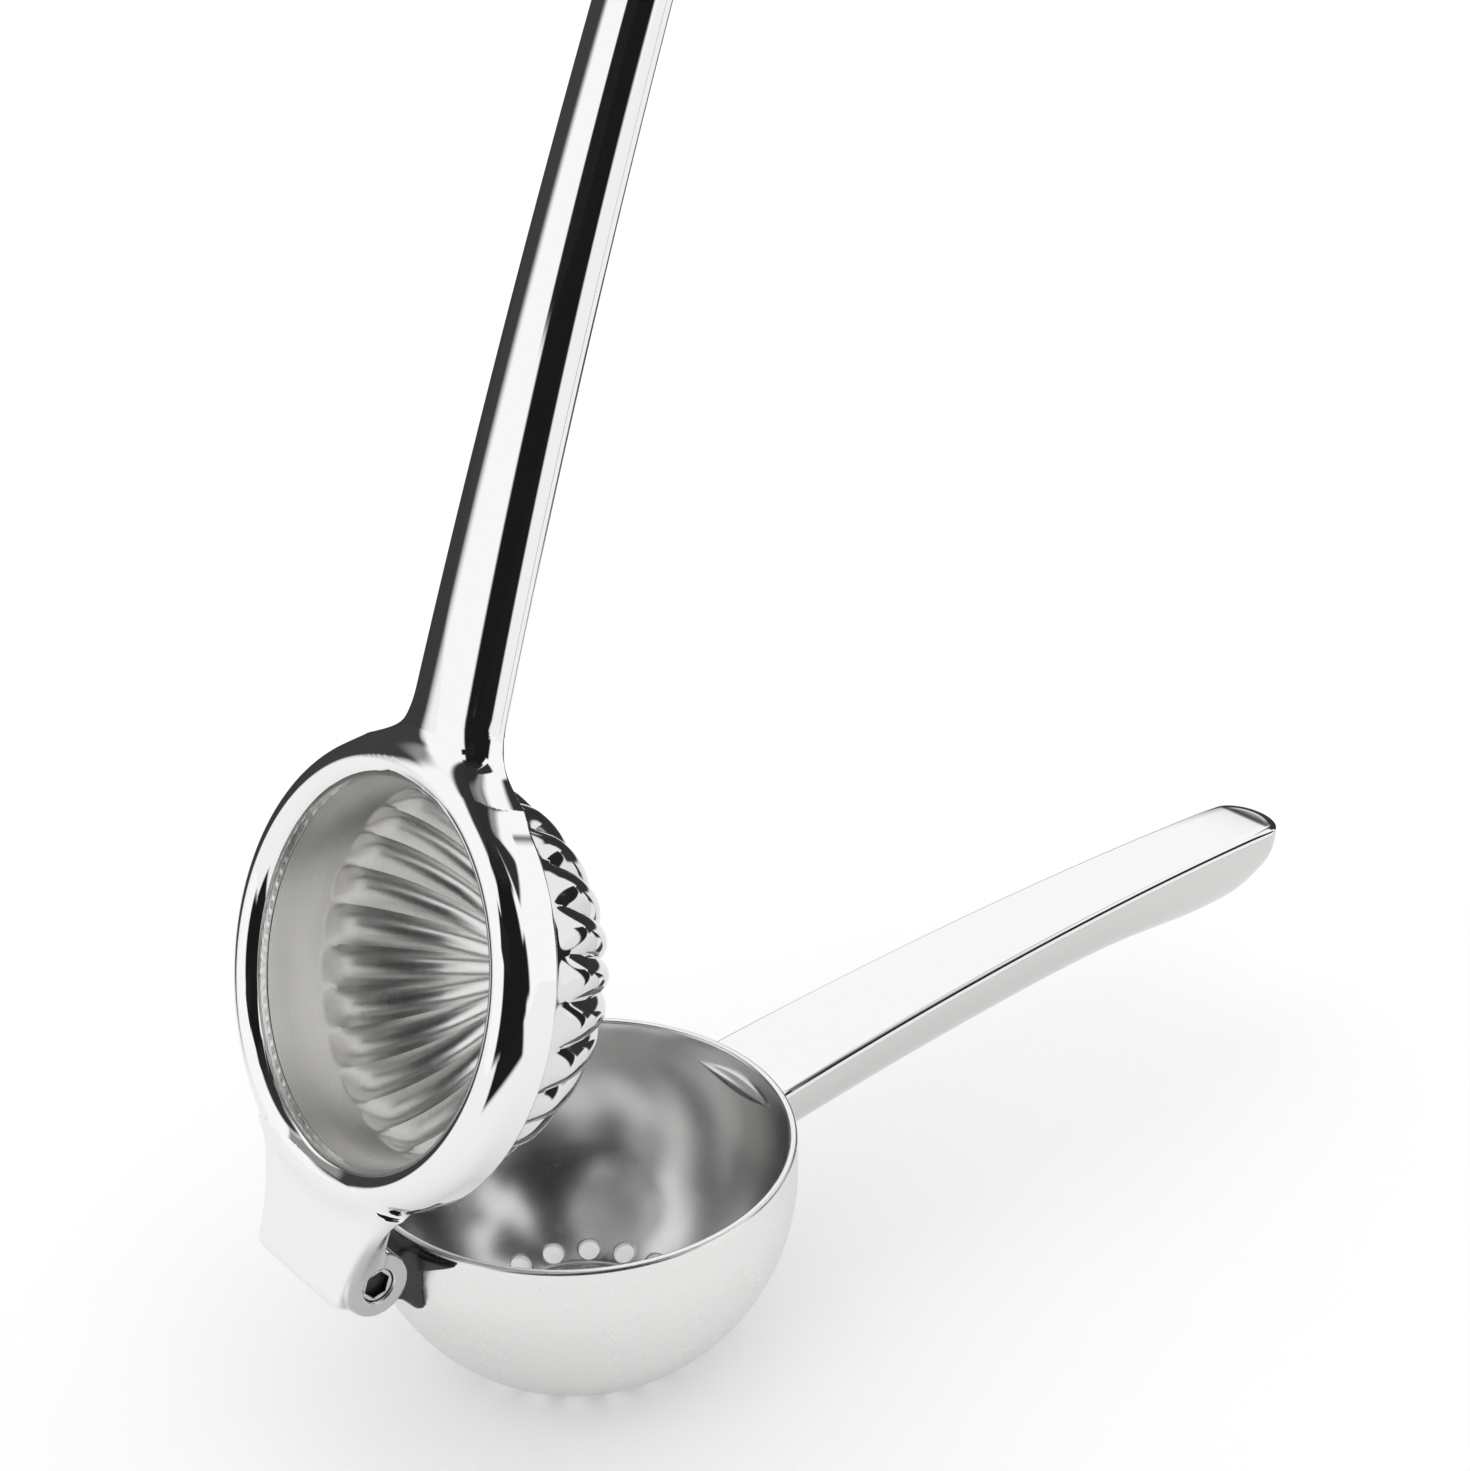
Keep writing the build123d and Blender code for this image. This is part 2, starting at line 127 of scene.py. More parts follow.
class Sheet:
    """Grids of points that are joined where they touch and become one mesh.

    Args:
        name: the object's name.
        body: the body that the piece rides.
    """

    def __init__(self, name: str, body: Body) -> None:
        """Starts an empty piece."""
        self.name = name
        self.body = body
        self.points: list[np.ndarray] = []
        self.faces: list[np.ndarray] = []
        self.coats: list[np.ndarray] = []
        self.total = 0

    def add(self, grid: np.ndarray, ring: bool = False, coat: int | np.ndarray = 0) -> None:
        """Adds a grid as quads between neighbouring rows and columns.

        Args:
            grid: points in millimetres, of shape (rows, columns, 3).
            ring: whether the last column joins the first.
            coat: number of the finish on these faces, or one number for each row of faces.
        """
        rows, columns = grid.shape[:2]
        index = np.arange(rows * columns).reshape(rows, columns) + self.total
        if ring:
            index = np.concatenate([index, index[:, :1]], axis=1)
        quads = np.stack([index[:-1, :-1], index[:-1, 1:], index[1:, 1:], index[1:, :-1]], axis=-1)
        coats = np.broadcast_to(np.asarray(coat).reshape(-1, 1), quads.shape[:2])
        self.coats.append(coats.reshape(-1))
        self.faces.append(quads.reshape(-1, 4))
        self.points.append(grid.reshape(-1, 3))
        self.total += rows * columns

    def build(self, sharp: float = 40.0) -> bpy.types.Object:
        """Joins points that share a half micrometre cell, drops faces left without area, makes the object.

        The cells are shifted a little, so that round sizes don't fall on their borders.

        Args:
            sharp: edges over this angle in degrees are drawn sharp.

        Returns:
            The object, riding its body.
        """
        points = ROW.place(np.concatenate(self.points), self.body)
        keys = np.round(points / JOINING_CELL + CELL_SHIFT).astype(np.int64)
        _, first, joined = np.unique(keys, axis=0, return_index=True, return_inverse=True)
        joined = joined.reshape(-1)
        quads = joined[np.concatenate(self.faces)]
        after = np.roll(quads, -1, axis=1)
        fresh = quads != after
        whole = quads[fresh.all(axis=1)]
        partly = fresh.sum(axis=1) == 3
        corners = quads[partly][fresh[partly]].reshape(-1, 3)
        coats = np.concatenate(self.coats)
        mesh = bpy.data.meshes.new(self.name)
        mesh.from_pydata(points[first].tolist(), [], whole.tolist() + corners.tolist())
        mesh.polygons.foreach_set("material_index", np.concatenate([coats[fresh.all(axis=1)], coats[partly]]))
        mesh.validate()
        obj = bpy.data.objects.new(self.name, mesh)
        bpy.context.scene.collection.objects.link(obj)
        work = bmesh.new()
        work.from_mesh(mesh)
        bmesh.ops.recalc_face_normals(work, faces=work.faces)
        open_edges = sum(1 for edge in work.edges if not edge.is_manifold)
        work.to_mesh(mesh)
        work.free()
        mesh.polygons.foreach_set("use_smooth", [True] * len(mesh.polygons))
        mesh.set_sharp_from_angle(angle=math.radians(sharp))
        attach(obj, self.body.value)
        log.info("%s: %d faces, %d open edges", self.name, len(mesh.polygons), open_edges)
        return obj


# ---------------------------------------------------------------- finishes
class Nodes:
    """Short hand for building a node tree.

    Args:
        tree: the tree that gets the nodes.
    """

    def __init__(self, tree: bpy.types.NodeTree) -> None:
        """Keeps the tree."""
        self.tree = tree

    def add(self, kind: str, **values: object) -> bpy.types.Node:
        """Adds a node and sets its attributes, or its inputs where no attribute has that name.

        Args:
            kind: the node's type.
            values: attribute or input names, with underscores for spaces, and their values.

        Returns:
            The node.
        """
        node = self.tree.nodes.new(kind)
        for name, value in values.items():
            if hasattr(node, name):
                setattr(node, name, value)
            else:
                self.feed(node, name.replace("_", " "), value)
        return node

    def feed(self, node: bpy.types.Node, name: str, value: object) -> None:
        """Sets an input to a value, or links it where the value is a socket.

        Args:
            node: the node.
            name: the input's name, or its number as text.
            value: a plain value or another node's output.
        """
        socket = node.inputs[int(name)] if name.isdigit() else node.inputs[name]
        if isinstance(value, bpy.types.NodeSocket):
            self.tree.links.new(value, socket)
        else:
            socket.default_value = value

    def maths(self, operation: str, first: object, second: object = 0.0) -> bpy.types.NodeSocket:
        """One calculation with one or two values.

        Args:
            operation: the Math node's operation.
            first: value or socket.
            second: value or socket; left out where the operation takes one.

        Returns:
            The result's socket.
        """
        node = self.add("ShaderNodeMath", operation=operation)
        self.feed(node, "0", first)
        self.feed(node, "1", second)
        return node.outputs[0]

    def spread(self, value: object, low: float, high: float) -> bpy.types.NodeSocket:
        """Maps 0 to 1 onto low to high.

        Args:
            value: socket from 0 to 1.
            low: result at 0.
            high: result at 1.

        Returns:
            The result's socket.
        """
        node = self.add("ShaderNodeMapRange", To_Min=low, To_Max=high)
        self.feed(node, "Value", value)
        return node.outputs["Result"]

    def tint(self, share: bpy.types.NodeSocket, first: object, second: object) -> bpy.types.NodeSocket:
        """Mixes two colours.

        Args:
            share: 0 for the first colour and 1 for the second.
            first: linear red, green and blue, or a colour socket.
            second: the same.

        Returns:
            The mixed colour's socket.
        """
        node = self.add("ShaderNodeMix", data_type="RGBA")
        self.feed(node, "0", share)
        for name, colour in (("6", first), ("7", second)):
            self.feed(node, name, (*colour, 1) if isinstance(colour, tuple) else colour)
        return node.outputs[2]

    def level(self, share: bpy.types.NodeSocket, first: object, second: object) -> bpy.types.NodeSocket:
        """Mixes two plain levels.

        Args:
            share: 0 for the first level and 1 for the second.
            first: value or socket.
            second: value or socket.

        Returns:
            The result's socket.
        """
        node = self.add("ShaderNodeMix", Factor=share)
        self.feed(node, "2", first)
        self.feed(node, "3", second)
        return node.outputs[0]

    def cover(self, share: object, under: object, over: object) -> bpy.types.NodeSocket:
        """Lays one shader over another.

        Args:
            share: how much of the upper shader shows, from 0 to 1.
            under: socket of the lower shader.
            over: socket of the upper shader.

        Returns:
            The result's socket.
        """
        node = self.add("ShaderNodeMixShader")
        self.feed(node, "0", share)
        self.feed(node, "1", under)
        self.feed(node, "2", over)
        return node.outputs[0]

    def window(self, value: object, limits: tuple[float, float], soft: float) -> bpy.types.NodeSocket:
        """A soft window on one value.

        Args:
            value: the socket that is looked at.
            limits: where the window starts and ends.
            soft: width of its soft edge.

        Returns:
            The mask's socket, 1 inside the window.
        """
        node = self.add("ShaderNodeGroup", node_tree=EFFECTS.group(Effect.WINDOW))
        for name, setting in zip(("Value", "Low", "High", "Soft"), (value, *limits, soft)):
            self.feed(node, name, setting)
        return node.outputs["Mask"]


class Effect(Enum):
    """The shader node groups that are used more than once."""

    BRUSHED = "brushed grain"
    WEAR = "handling marks"
    WINDOW = "soft window"


class EffectLibrary:
    """Builds each shared effect once and hands it to the finishes."""

    def __init__(self) -> None:
        """Starts with no effect built."""
        self.groups: dict[Effect, bpy.types.NodeTree] = {}

    def group(self, effect: Effect) -> bpy.types.NodeTree:
        """The node group of an effect, built at its first use.

        Args:
            effect: the effect.

        Returns:
            Its node group.
        """
        if effect not in self.groups:
            makers = {Effect.BRUSHED: self.brushed, Effect.WEAR: self.wear, Effect.WINDOW: self.window}
            self.groups[effect] = makers[effect]()
        return self.groups[effect]

    def start(self, effect: Effect, inputs: dict[str, tuple[str, object]],
              outputs: dict[str, str]) -> tuple[Nodes, bpy.types.Node, bpy.types.Node]:
        """Opens a node group with its named sockets.

        Args:
            effect: the effect, which names the group.
            inputs: socket type and default for each input's name.
            outputs: socket type for each output's name.

        Returns:
            The node helper, the group's input node and its output node.
        """
        tree = bpy.data.node_groups.new(effect.value, "ShaderNodeTree")
        for label, (kind, default) in inputs.items():
            socket = tree.interface.new_socket(label, in_out="INPUT", socket_type=kind)
            if default is not None:
                socket.default_value = default
        for label, kind in outputs.items():
            tree.interface.new_socket(label, in_out="OUTPUT", socket_type=kind)
        nodes = Nodes(tree)
        return nodes, nodes.add("NodeGroupInput"), nodes.add("NodeGroupOutput")

    def brushed(self) -> bpy.types.NodeTree:
        """Fine lines along one direction: noise on coordinates that are stretched across the lines.

        Returns:
            The node group.
        """
        nodes, entry, leave = self.start(
            Effect.BRUSHED,
            {"Vector": ("NodeSocketVector", None), "Across": ("NodeSocketFloat", 2500.0),
             "Along": ("NodeSocketFloat", 60.0)},
            {"Grain": "NodeSocketFloat"},
        )
        parts = nodes.add("ShaderNodeSeparateXYZ", Vector=entry.outputs["Vector"])
        along_x = nodes.maths("MULTIPLY", parts.outputs["X"], entry.outputs["Along"])
        along_y = nodes.maths("MULTIPLY", parts.outputs["Y"], entry.outputs["Along"])
        across = nodes.maths("MULTIPLY", parts.outputs["Z"], entry.outputs["Across"])
        stretched = nodes.add("ShaderNodeCombineXYZ", X=along_x, Y=along_y, Z=across)
        noise = nodes.add("ShaderNodeTexNoise", Vector=stretched.outputs[0], Scale=1.0, Detail=3.0,
                          Roughness=0.6)
        nodes.feed(leave, "Grain", noise.outputs["Fac"])
        return nodes.tree

    def wear(self) -> bpy.types.NodeTree:
        """Soft cloudy smudges and thin wandering scratches, both from noise.

        Returns:
            The node group.
        """
        nodes, entry, leave = self.start(
            Effect.WEAR,
            {"Vector": ("NodeSocketVector", None), "Scale": ("NodeSocketFloat", 60.0)},
            {"Smudge": "NodeSocketFloat", "Scratch": "NodeSocketFloat"},
        )
        cloud = nodes.add("ShaderNodeTexNoise", Vector=entry.outputs["Vector"],
                          Scale=entry.outputs["Scale"], Detail=4.0, Roughness=0.55)
        smudge = nodes.add("ShaderNodeMapRange", Value=cloud.outputs["Fac"], From_Min=0.45, From_Max=0.75)
        finer = nodes.maths("MULTIPLY", entry.outputs["Scale"], 9.0)
        lines = nodes.add("ShaderNodeTexNoise", Vector=entry.outputs["Vector"], Scale=finer, Detail=2.0,
                          Distortion=2.5)
        middle = nodes.maths("ABSOLUTE", nodes.maths("SUBTRACT", lines.outputs["Fac"], 0.5))
        scratch = nodes.add("ShaderNodeMapRange", Value=middle, From_Min=0.0, From_Max=0.012, To_Min=1.0,
                            To_Max=0.0)
        nodes.feed(leave, "Smudge", smudge.outputs["Result"])
        nodes.feed(leave, "Scratch", scratch.outputs["Result"])
        return nodes.tree

    def window(self) -> bpy.types.NodeTree:
        """A mask: 1 between two limits of a value and 0 outside them. It changes smoothly over the soft
        width and is a half at each limit.

        Returns:
            The node group.
        """
        nodes, entry, leave = self.start(
            Effect.WINDOW,
            {name: ("NodeSocketFloat", 0.0) for name in ("Value", "Low", "High", "Soft")},
            {"Mask": "NodeSocketFloat"},
        )
        value, soft = entry.outputs["Value"], entry.outputs["Soft"]
        rise = nodes.maths("DIVIDE", nodes.maths("SUBTRACT", value, entry.outputs["Low"]), soft)
        fall = nodes.maths("DIVIDE", nodes.maths("SUBTRACT", entry.outputs["High"], value), soft)
        near = nodes.maths("MINIMUM", rise, fall)
        mask = nodes.add("ShaderNodeMapRange", interpolation_type="SMOOTHSTEP", Value=near, From_Min=-0.5,
                         From_Max=0.5)
        nodes.feed(leave, "Mask", mask.outputs["Result"])
        return nodes.tree


EFFECTS = EffectLibrary()


@dataclass(frozen=True)
class Steel:
    """A stainless steel finish.

    Args:
        name: the material's name.
        tone: the metal's reflected colour, linear.
        gloss: roughness of clean metal.
        smudge: extra roughness where it is handled.
        grain: strength of the brushed lines.
        across: lines per metre across the brushing.
        along: changes per metre along the brushing.
        turned: degrees that turn the brushing's axis about Y, to follow the opened press arm.
        satin: tone of the parts that the piece marks as satin, as a share of the rest's; 0 for none.
    """

    name: str
    tone: tuple[float, float, float] = (0.80, 0.80, 0.79)
    gloss: float = 0.05
    smudge: float = 0.03
    grain: float = 0.0
    across: float = 2500.0
    along: float = 60.0
    turned: float = 0.0
    satin: float = 0.0

    grain_rough = 0.25  # extra roughness of full grain
    grain_shade = 0.3  # how much darker full grain gets
    grain_bump = 0.12
    grain_height = 0.00005  # metres
    scratch_rough = 0.02
    satin_rough = 0.3

    def brushing(self, nodes: Nodes, place: bpy.types.NodeSocket) -> bpy.types.NodeSocket:
        """The brushed lines of this finish.

        Args:
            nodes: the material's nodes.
            place: socket of the object's own coordinates.

        Returns:
            The grain's socket, from 0 to 1.
        """
        turn = nodes.add("ShaderNodeMapping", vector_type="TEXTURE", Vector=place)
        turn.inputs["Rotation"].default_value = (0.0, math.radians(self.turned), 0.0)
        lines = nodes.add("ShaderNodeGroup", node_tree=EFFECTS.group(Effect.BRUSHED))
        nodes.feed(lines, "Vector", turn.outputs["Vector"])
        nodes.feed(lines, "Across", self.across)
        nodes.feed(lines, "Along", self.along)
        return lines.outputs["Grain"]

    def material(self) -> bpy.types.Material:
        """Builds the material: metal whose tone and height follow the grain, and whose roughness follows
        the grain and the marks. Without grain or satin the tone is even, and set on the shader itself.

        Returns:
            The material.
        """
        material = bpy.data.materials.new(self.name)
        material.use_nodes = True
        nodes = Nodes(material.node_tree)
        shader = material.node_tree.nodes["Principled BSDF"]
        place = nodes.add("ShaderNodeTexCoord").outputs["Object"]
        wear = nodes.add("ShaderNodeGroup", node_tree=EFFECTS.group(Effect.WEAR))
        nodes.feed(wear, "Vector", place)
        rough = nodes.maths("ADD", nodes.spread(wear.outputs["Smudge"], 0.0, self.smudge), self.gloss)
        shade = self.tone
        if self.grain:
            grain = self.brushing(nodes, place)
            rough = nodes.maths("ADD", rough, nodes.spread(grain, 0.0, self.grain_rough * self.grain))
            dark = tuple(level * (1 - self.grain_shade * self.grain) for level in self.tone)
            shade = nodes.tint(grain, dark, self.tone)
            bump = nodes.add("ShaderNodeBump", Strength=self.grain_bump * self.grain,
                             Distance=self.grain_height, Height=grain)
            nodes.feed(shader, "Normal", bump.outputs["Normal"])
        rough = nodes.maths("ADD", rough, nodes.spread(wear.outputs["Scratch"], 0.0, self.scratch_rough))
        if self.satin:
            mark = nodes.add("ShaderNodeAttribute", attribute_name="satin").outputs["Fac"]
            rough = nodes.maths("ADD", rough, nodes.spread(mark, 0.0, self.satin_rough))
            shade = nodes.tint(mark, shade, tuple(level * self.satin for level in self.tone))
        nodes.feed(shader, "Base Color", (*shade, 1) if shade is self.tone else shade)
        nodes.feed(shader, "Metallic", 1.0)
        nodes.feed(shader, "Roughness", rough)
        return material


@dataclass(frozen=True)
class Nylon:
    """Plain pale nylon with a faint mould texture."""

    name: str = "washer nylon"
    tone: tuple[float, float, float] = (0.62, 0.61, 0.57)

    def material(self) -> bpy.types.Material:
        """Builds the material: pale plastic with cloudy changes of tone and roughness.

        Returns:
            The material.
        """
        material = bpy.data.materials.new(self.name)
        material.use_nodes = True
        nodes = Nodes(material.node_tree)
        shader = material.node_tree.nodes["Principled BSDF"]
        place = nodes.add("ShaderNodeTexCoord").outputs["Object"]
        noise = nodes.add("ShaderNodeTexNoise", Vector=place, Scale=900.0, Detail=3.0)
        darker = tuple(level * 0.85 for level in self.tone)
        nodes.feed(shader, "Base Color", nodes.tint(noise.outputs["Fac"], darker, self.tone))
        nodes.feed(shader, "Roughness", nodes.spread(noise.outputs["Fac"], 0.45, 0.6))
        return material


@dataclass(frozen=True)
class Finishes:
    """The finishes of this squeezer, one for each kind of surface."""

    bowl: Steel = Steel("satin bowl steel", tone=(0.92, 0.915, 0.905), gloss=0.25, smudge=0.03, grain=0.12)
    bowl_inside: Steel = Steel("bowl inside steel", tone=(0.84, 0.84, 0.835), gloss=0.2, smudge=0.05,
                               grain=0.15)
    cast: Steel = Steel("polished cast steel", tone=(0.93, 0.93, 0.925), gloss=0.035, smudge=0.03,
                        satin=0.62)
    handle: Steel = Steel("polished handle steel", tone=(0.93, 0.93, 0.925), gloss=0.04, smudge=0.03)
    # Darker tone than the lid's, though the same steel: painted shade on the lower handle's trough, under the
    # handle.
    keel: Steel = Steel("handle keel steel with painted shade", tone=(0.72, 0.715, 0.70), gloss=0.08, smudge=0.04)
    cup: Steel = Steel("polished cup steel", tone=(0.80, 0.80, 0.795), gloss=0.05, smudge=0.03)
    cup_inside: Steel = Steel("satin cup steel", tone=(0.95, 0.945, 0.93), gloss=0.24, smudge=0.05,
                              grain=0.4, turned=-68.9)
    pin: Steel = Steel("turned pin steel", tone=(0.6, 0.6, 0.59), gloss=0.22, smudge=0.05)
    # Near-black tone: painted shade in the pin's hexagon socket and down the head's sides, where the recesses
    # lie in shade.
    shade: Steel = Steel("socket steel with painted shade", tone=(0.06, 0.06, 0.062), gloss=0.4, smudge=0.1)
    # Near-black tone: painted shade for the dark gap between the cheeks and the bowl's wall, darker than the
    # steel's own colour.
    lug: Steel = Steel("lug steel with painted shade", tone=(0.07, 0.07, 0.07), gloss=0.3, smudge=0.1)
    washer: Nylon = Nylon()


def dress(obj: bpy.types.Object, *finishes: Steel | Nylon) -> None:
    """Gives a new object its finishes, one for each coat number.

    Args:
        obj: the object.
        finishes: the finishes, each built once and shared by name.
    """
    for finish in finishes:
        obj.data.materials.append(bpy.data.materials.get(finish.name) or finish.material())


# ---------------------------------------------------------------- castings
def join(first: np.ndarray, second: np.ndarray, blend: float) -> np.ndarray:
    """Union of two fields with a fillet: the smaller value, lowered where the two are within the blend."""
    near = np.maximum(blend - np.abs(first - second), 0.0) / blend
    return np.minimum(first, second) - near * near * blend / 4


def meet(first: np.ndarray, second: np.ndarray, blend: float) -> np.ndarray:
    """Intersection of two fields with a rounded edge."""
    return -join(-first, -second, blend)


def cut(first: np.ndarray, second: np.ndarray, blend: float) -> np.ndarray:
    """The first field without the second, with a rounded edge."""
    return -join(-first, second, blend)


def step(value: np.ndarray, low: float, high: float) -> np.ndarray:
    """Smooth rise from 0 at low to 1 at high."""
    share = np.clip((value - low) / (high - low), 0.0, 1.0)
    return share * share * (3 - 2 * share)


class Casting:
    """A cast piece with fillets everywhere: the surface where a blended field is zero.

    A field is negative inside the metal. Each grid cell that the surface crosses gets one point, at
    the mean of the crossings on its edges, and points are then eased along the surface and moved
    onto it down the field's slope. The slope also gives each point's normal.

    Args:
        low: lowest corner of the grid in millimetres.
        high: highest corner of the grid.
        pitch: the grid's cell size.
        thin: pairs of heights between which the grid's layers are three times closer.
    """

    closer = 3
    settling_rounds = 3
    easing_rounds = 4
    least_slope = 0.05
    longest_move = 0.5  # share of a cell
    slope_reach = 0.1  # share of a cell

    def __init__(self, low: tuple[float, float, float], high: tuple[float, float, float],
                 pitch: float, thin: tuple[tuple[float, float], ...] = ()) -> None:
        """Works out the grid's planes."""
        self.pitch = pitch
        self.axes = [np.arange(first, last + pitch, pitch) for first, last in zip(low, high)]
        layers = np.arange(low[2], high[2] + pitch, pitch / self.closer)
        kept = np.arange(len(layers)) % self.closer == 0
        for bottom, top in thin:
            kept |= (layers > bottom) & (layers < top)
        self.axes[2] = layers[kept]

    def field(self, x: np.ndarray, y: np.ndarray, z: np.ndarray) -> np.ndarray:
        """The piece's field at points in the rim frame."""
        raise NotImplementedError

    def value(self, points: np.ndarray) -> np.ndarray:
        """The field at an array of points."""
        return self.field(points[:, 0], points[:, 1], points[:, 2])

    def slope(self, points: np.ndarray) -> np.ndarray:
        """The field's gradient: the difference between two points close by, over their distance.

        Args:
            points: array of shape (n, 3).

        Returns:
            The gradients, in the same shape.
        """
        reach = self.slope_reach * self.pitch
        shifts = np.eye(3) * reach
        parts = [self.value(points + shift) - self.value(points - shift) for shift in shifts]
        return np.stack(parts, axis=-1) / (2 * reach)

    def settle(self, points: np.ndarray) -> np.ndarray:
        """Moves points onto the surface: minus the value times the slope over its length squared.

        Args:
            points: array of shape (n, 3) near the surface.

        Returns:
            The moved points.
        """
        limit = self.longest_move * self.pitch
        for _ in range(self.settling_rounds):
            slope = self.slope(points)
            size = np.maximum((slope * slope).sum(axis=1), self.least_slope)
            move = slope * (self.value(points) / size)[:, None]
            points = points - np.clip(move, -limit, limit)
        return points

    def net(self) -> tuple[np.ndarray, np.ndarray]:
        """Points in the crossed cells, and a quad round every crossed grid edge.

        Returns:
            Points of shape (n, 3) in millimetres and quads of shape (m, 4).
        """
        values = self.field(*np.meshgrid(*self.axes, indexing="ij"))
        cells = tuple(len(axis) - 1 for axis in self.axes)
        total = np.zeros((*cells, 3))
        count = np.zeros(cells)
        crossed = []
        for axis in range(3):
            first = np.moveaxis(values, axis, 0)[:-1]
            second = np.moveaxis(values, axis, 0)[1:]
            change = (first < 0) != (second < 0)
            place = np.argwhere(change)
            share = first[change] / (first[change] - second[change])
            others = [other for other in range(3) if other != axis]
            at = np.empty((len(place), 3), dtype=int)
            at[:, axis] = place[:, 0]
            at[:, others[0]] = place[:, 1]
            at[:, others[1]] = place[:, 2]
            spot = np.stack([line[index] for line, index in zip(self.axes, at.T)], axis=-1)
            spot[:, axis] += np.diff(self.axes[axis])[at[:, axis]] * share
            corners = []
            for back in ((0, 0), (1, 0), (1, 1), (0, 1)):
                cell = at.copy()
                cell[:, others[0]] -= back[0]
                cell[:, others[1]] -= back[1]
                np.add.at(total, tuple(cell.T), spot)
                np.add.at(count, tuple(cell.T), 1)
                corners.append(cell)
            outward = (first[change] < 0) != (axis == 1)
            crossed.append((np.stack(corners, axis=1), outward))
        active = count > 0
        number = np.full(cells, -1)
        number[active] = np.arange(active.sum())
        points = total[active] / count[active][:, None]
        quads = []
        for corners, outward in crossed:
            quad = number[tuple(np.moveaxis(corners, -1, 0))]
            quads.append(np.where(outward[:, None], quad, quad[:, ::-1]))
        return points, np.concatenate(quads)

    def ease(self, points: np.ndarray, quads: np.ndarray) -> np.ndarray:
        """Moves every point halfway to the mean of its neighbours, then back onto the surface.

        Args:
            points: array of shape (n, 3).
            quads: the faces that join them.

        Returns:
            The eased points.
        """
        starts = quads.reshape(-1)
        ends = np.roll(quads, -1, axis=1).reshape(-1)
        for _ in range(self.easing_rounds):
            mean = np.zeros_like(points)
            count = np.zeros(len(points))
            np.add.at(mean, starts, points[ends])
            np.add.at(mean, ends, points[starts])
            np.add.at(count, starts, 1)
            np.add.at(count, ends, 1)
            points = self.settle(0.5 * points + 0.5 * mean / count[:, None])
        return points

    def satin(self, points: np.ndarray, slope: np.ndarray) -> np.ndarray:
        """Share of satin finish at each point, from its place and the field's slope; none by default."""
        return np.zeros(len(points))

    def build(self, name: str, body: Body) -> bpy.types.Object:
        """Makes the object with the field's own normals, and its satin share as the mark "satin".

        Args:
            name: the object's name.
            body: the body that it rides.

        Returns:
            The object.
        """
        points, quads = self.net()
        points = self.ease(self.settle(points), quads)
        slope = self.slope(points)
        ends = ROW.place(np.stack([points, points + slope]), body)
        mesh = bpy.data.meshes.new(name)
        mesh.from_pydata(ends[0].tolist(), [], quads.tolist())
        mesh.polygons.foreach_set("use_smooth", [True] * len(mesh.polygons))
        normals = ends[1] - ends[0]
        normals /= np.linalg.norm(normals, axis=1, keepdims=True)
        mark = mesh.attributes.new("satin", "FLOAT", "POINT")
        mark.data.foreach_set("value", self.satin(points, slope).astype(np.float32))
        mesh.normals_split_custom_set_from_vertices(normals.tolist())
        obj = bpy.data.objects.new(name, mesh)
        bpy.context.scene.collection.objects.link(obj)
        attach(obj, body.value)
        log.info("%s: %d faces", name, len(mesh.polygons))
        return obj


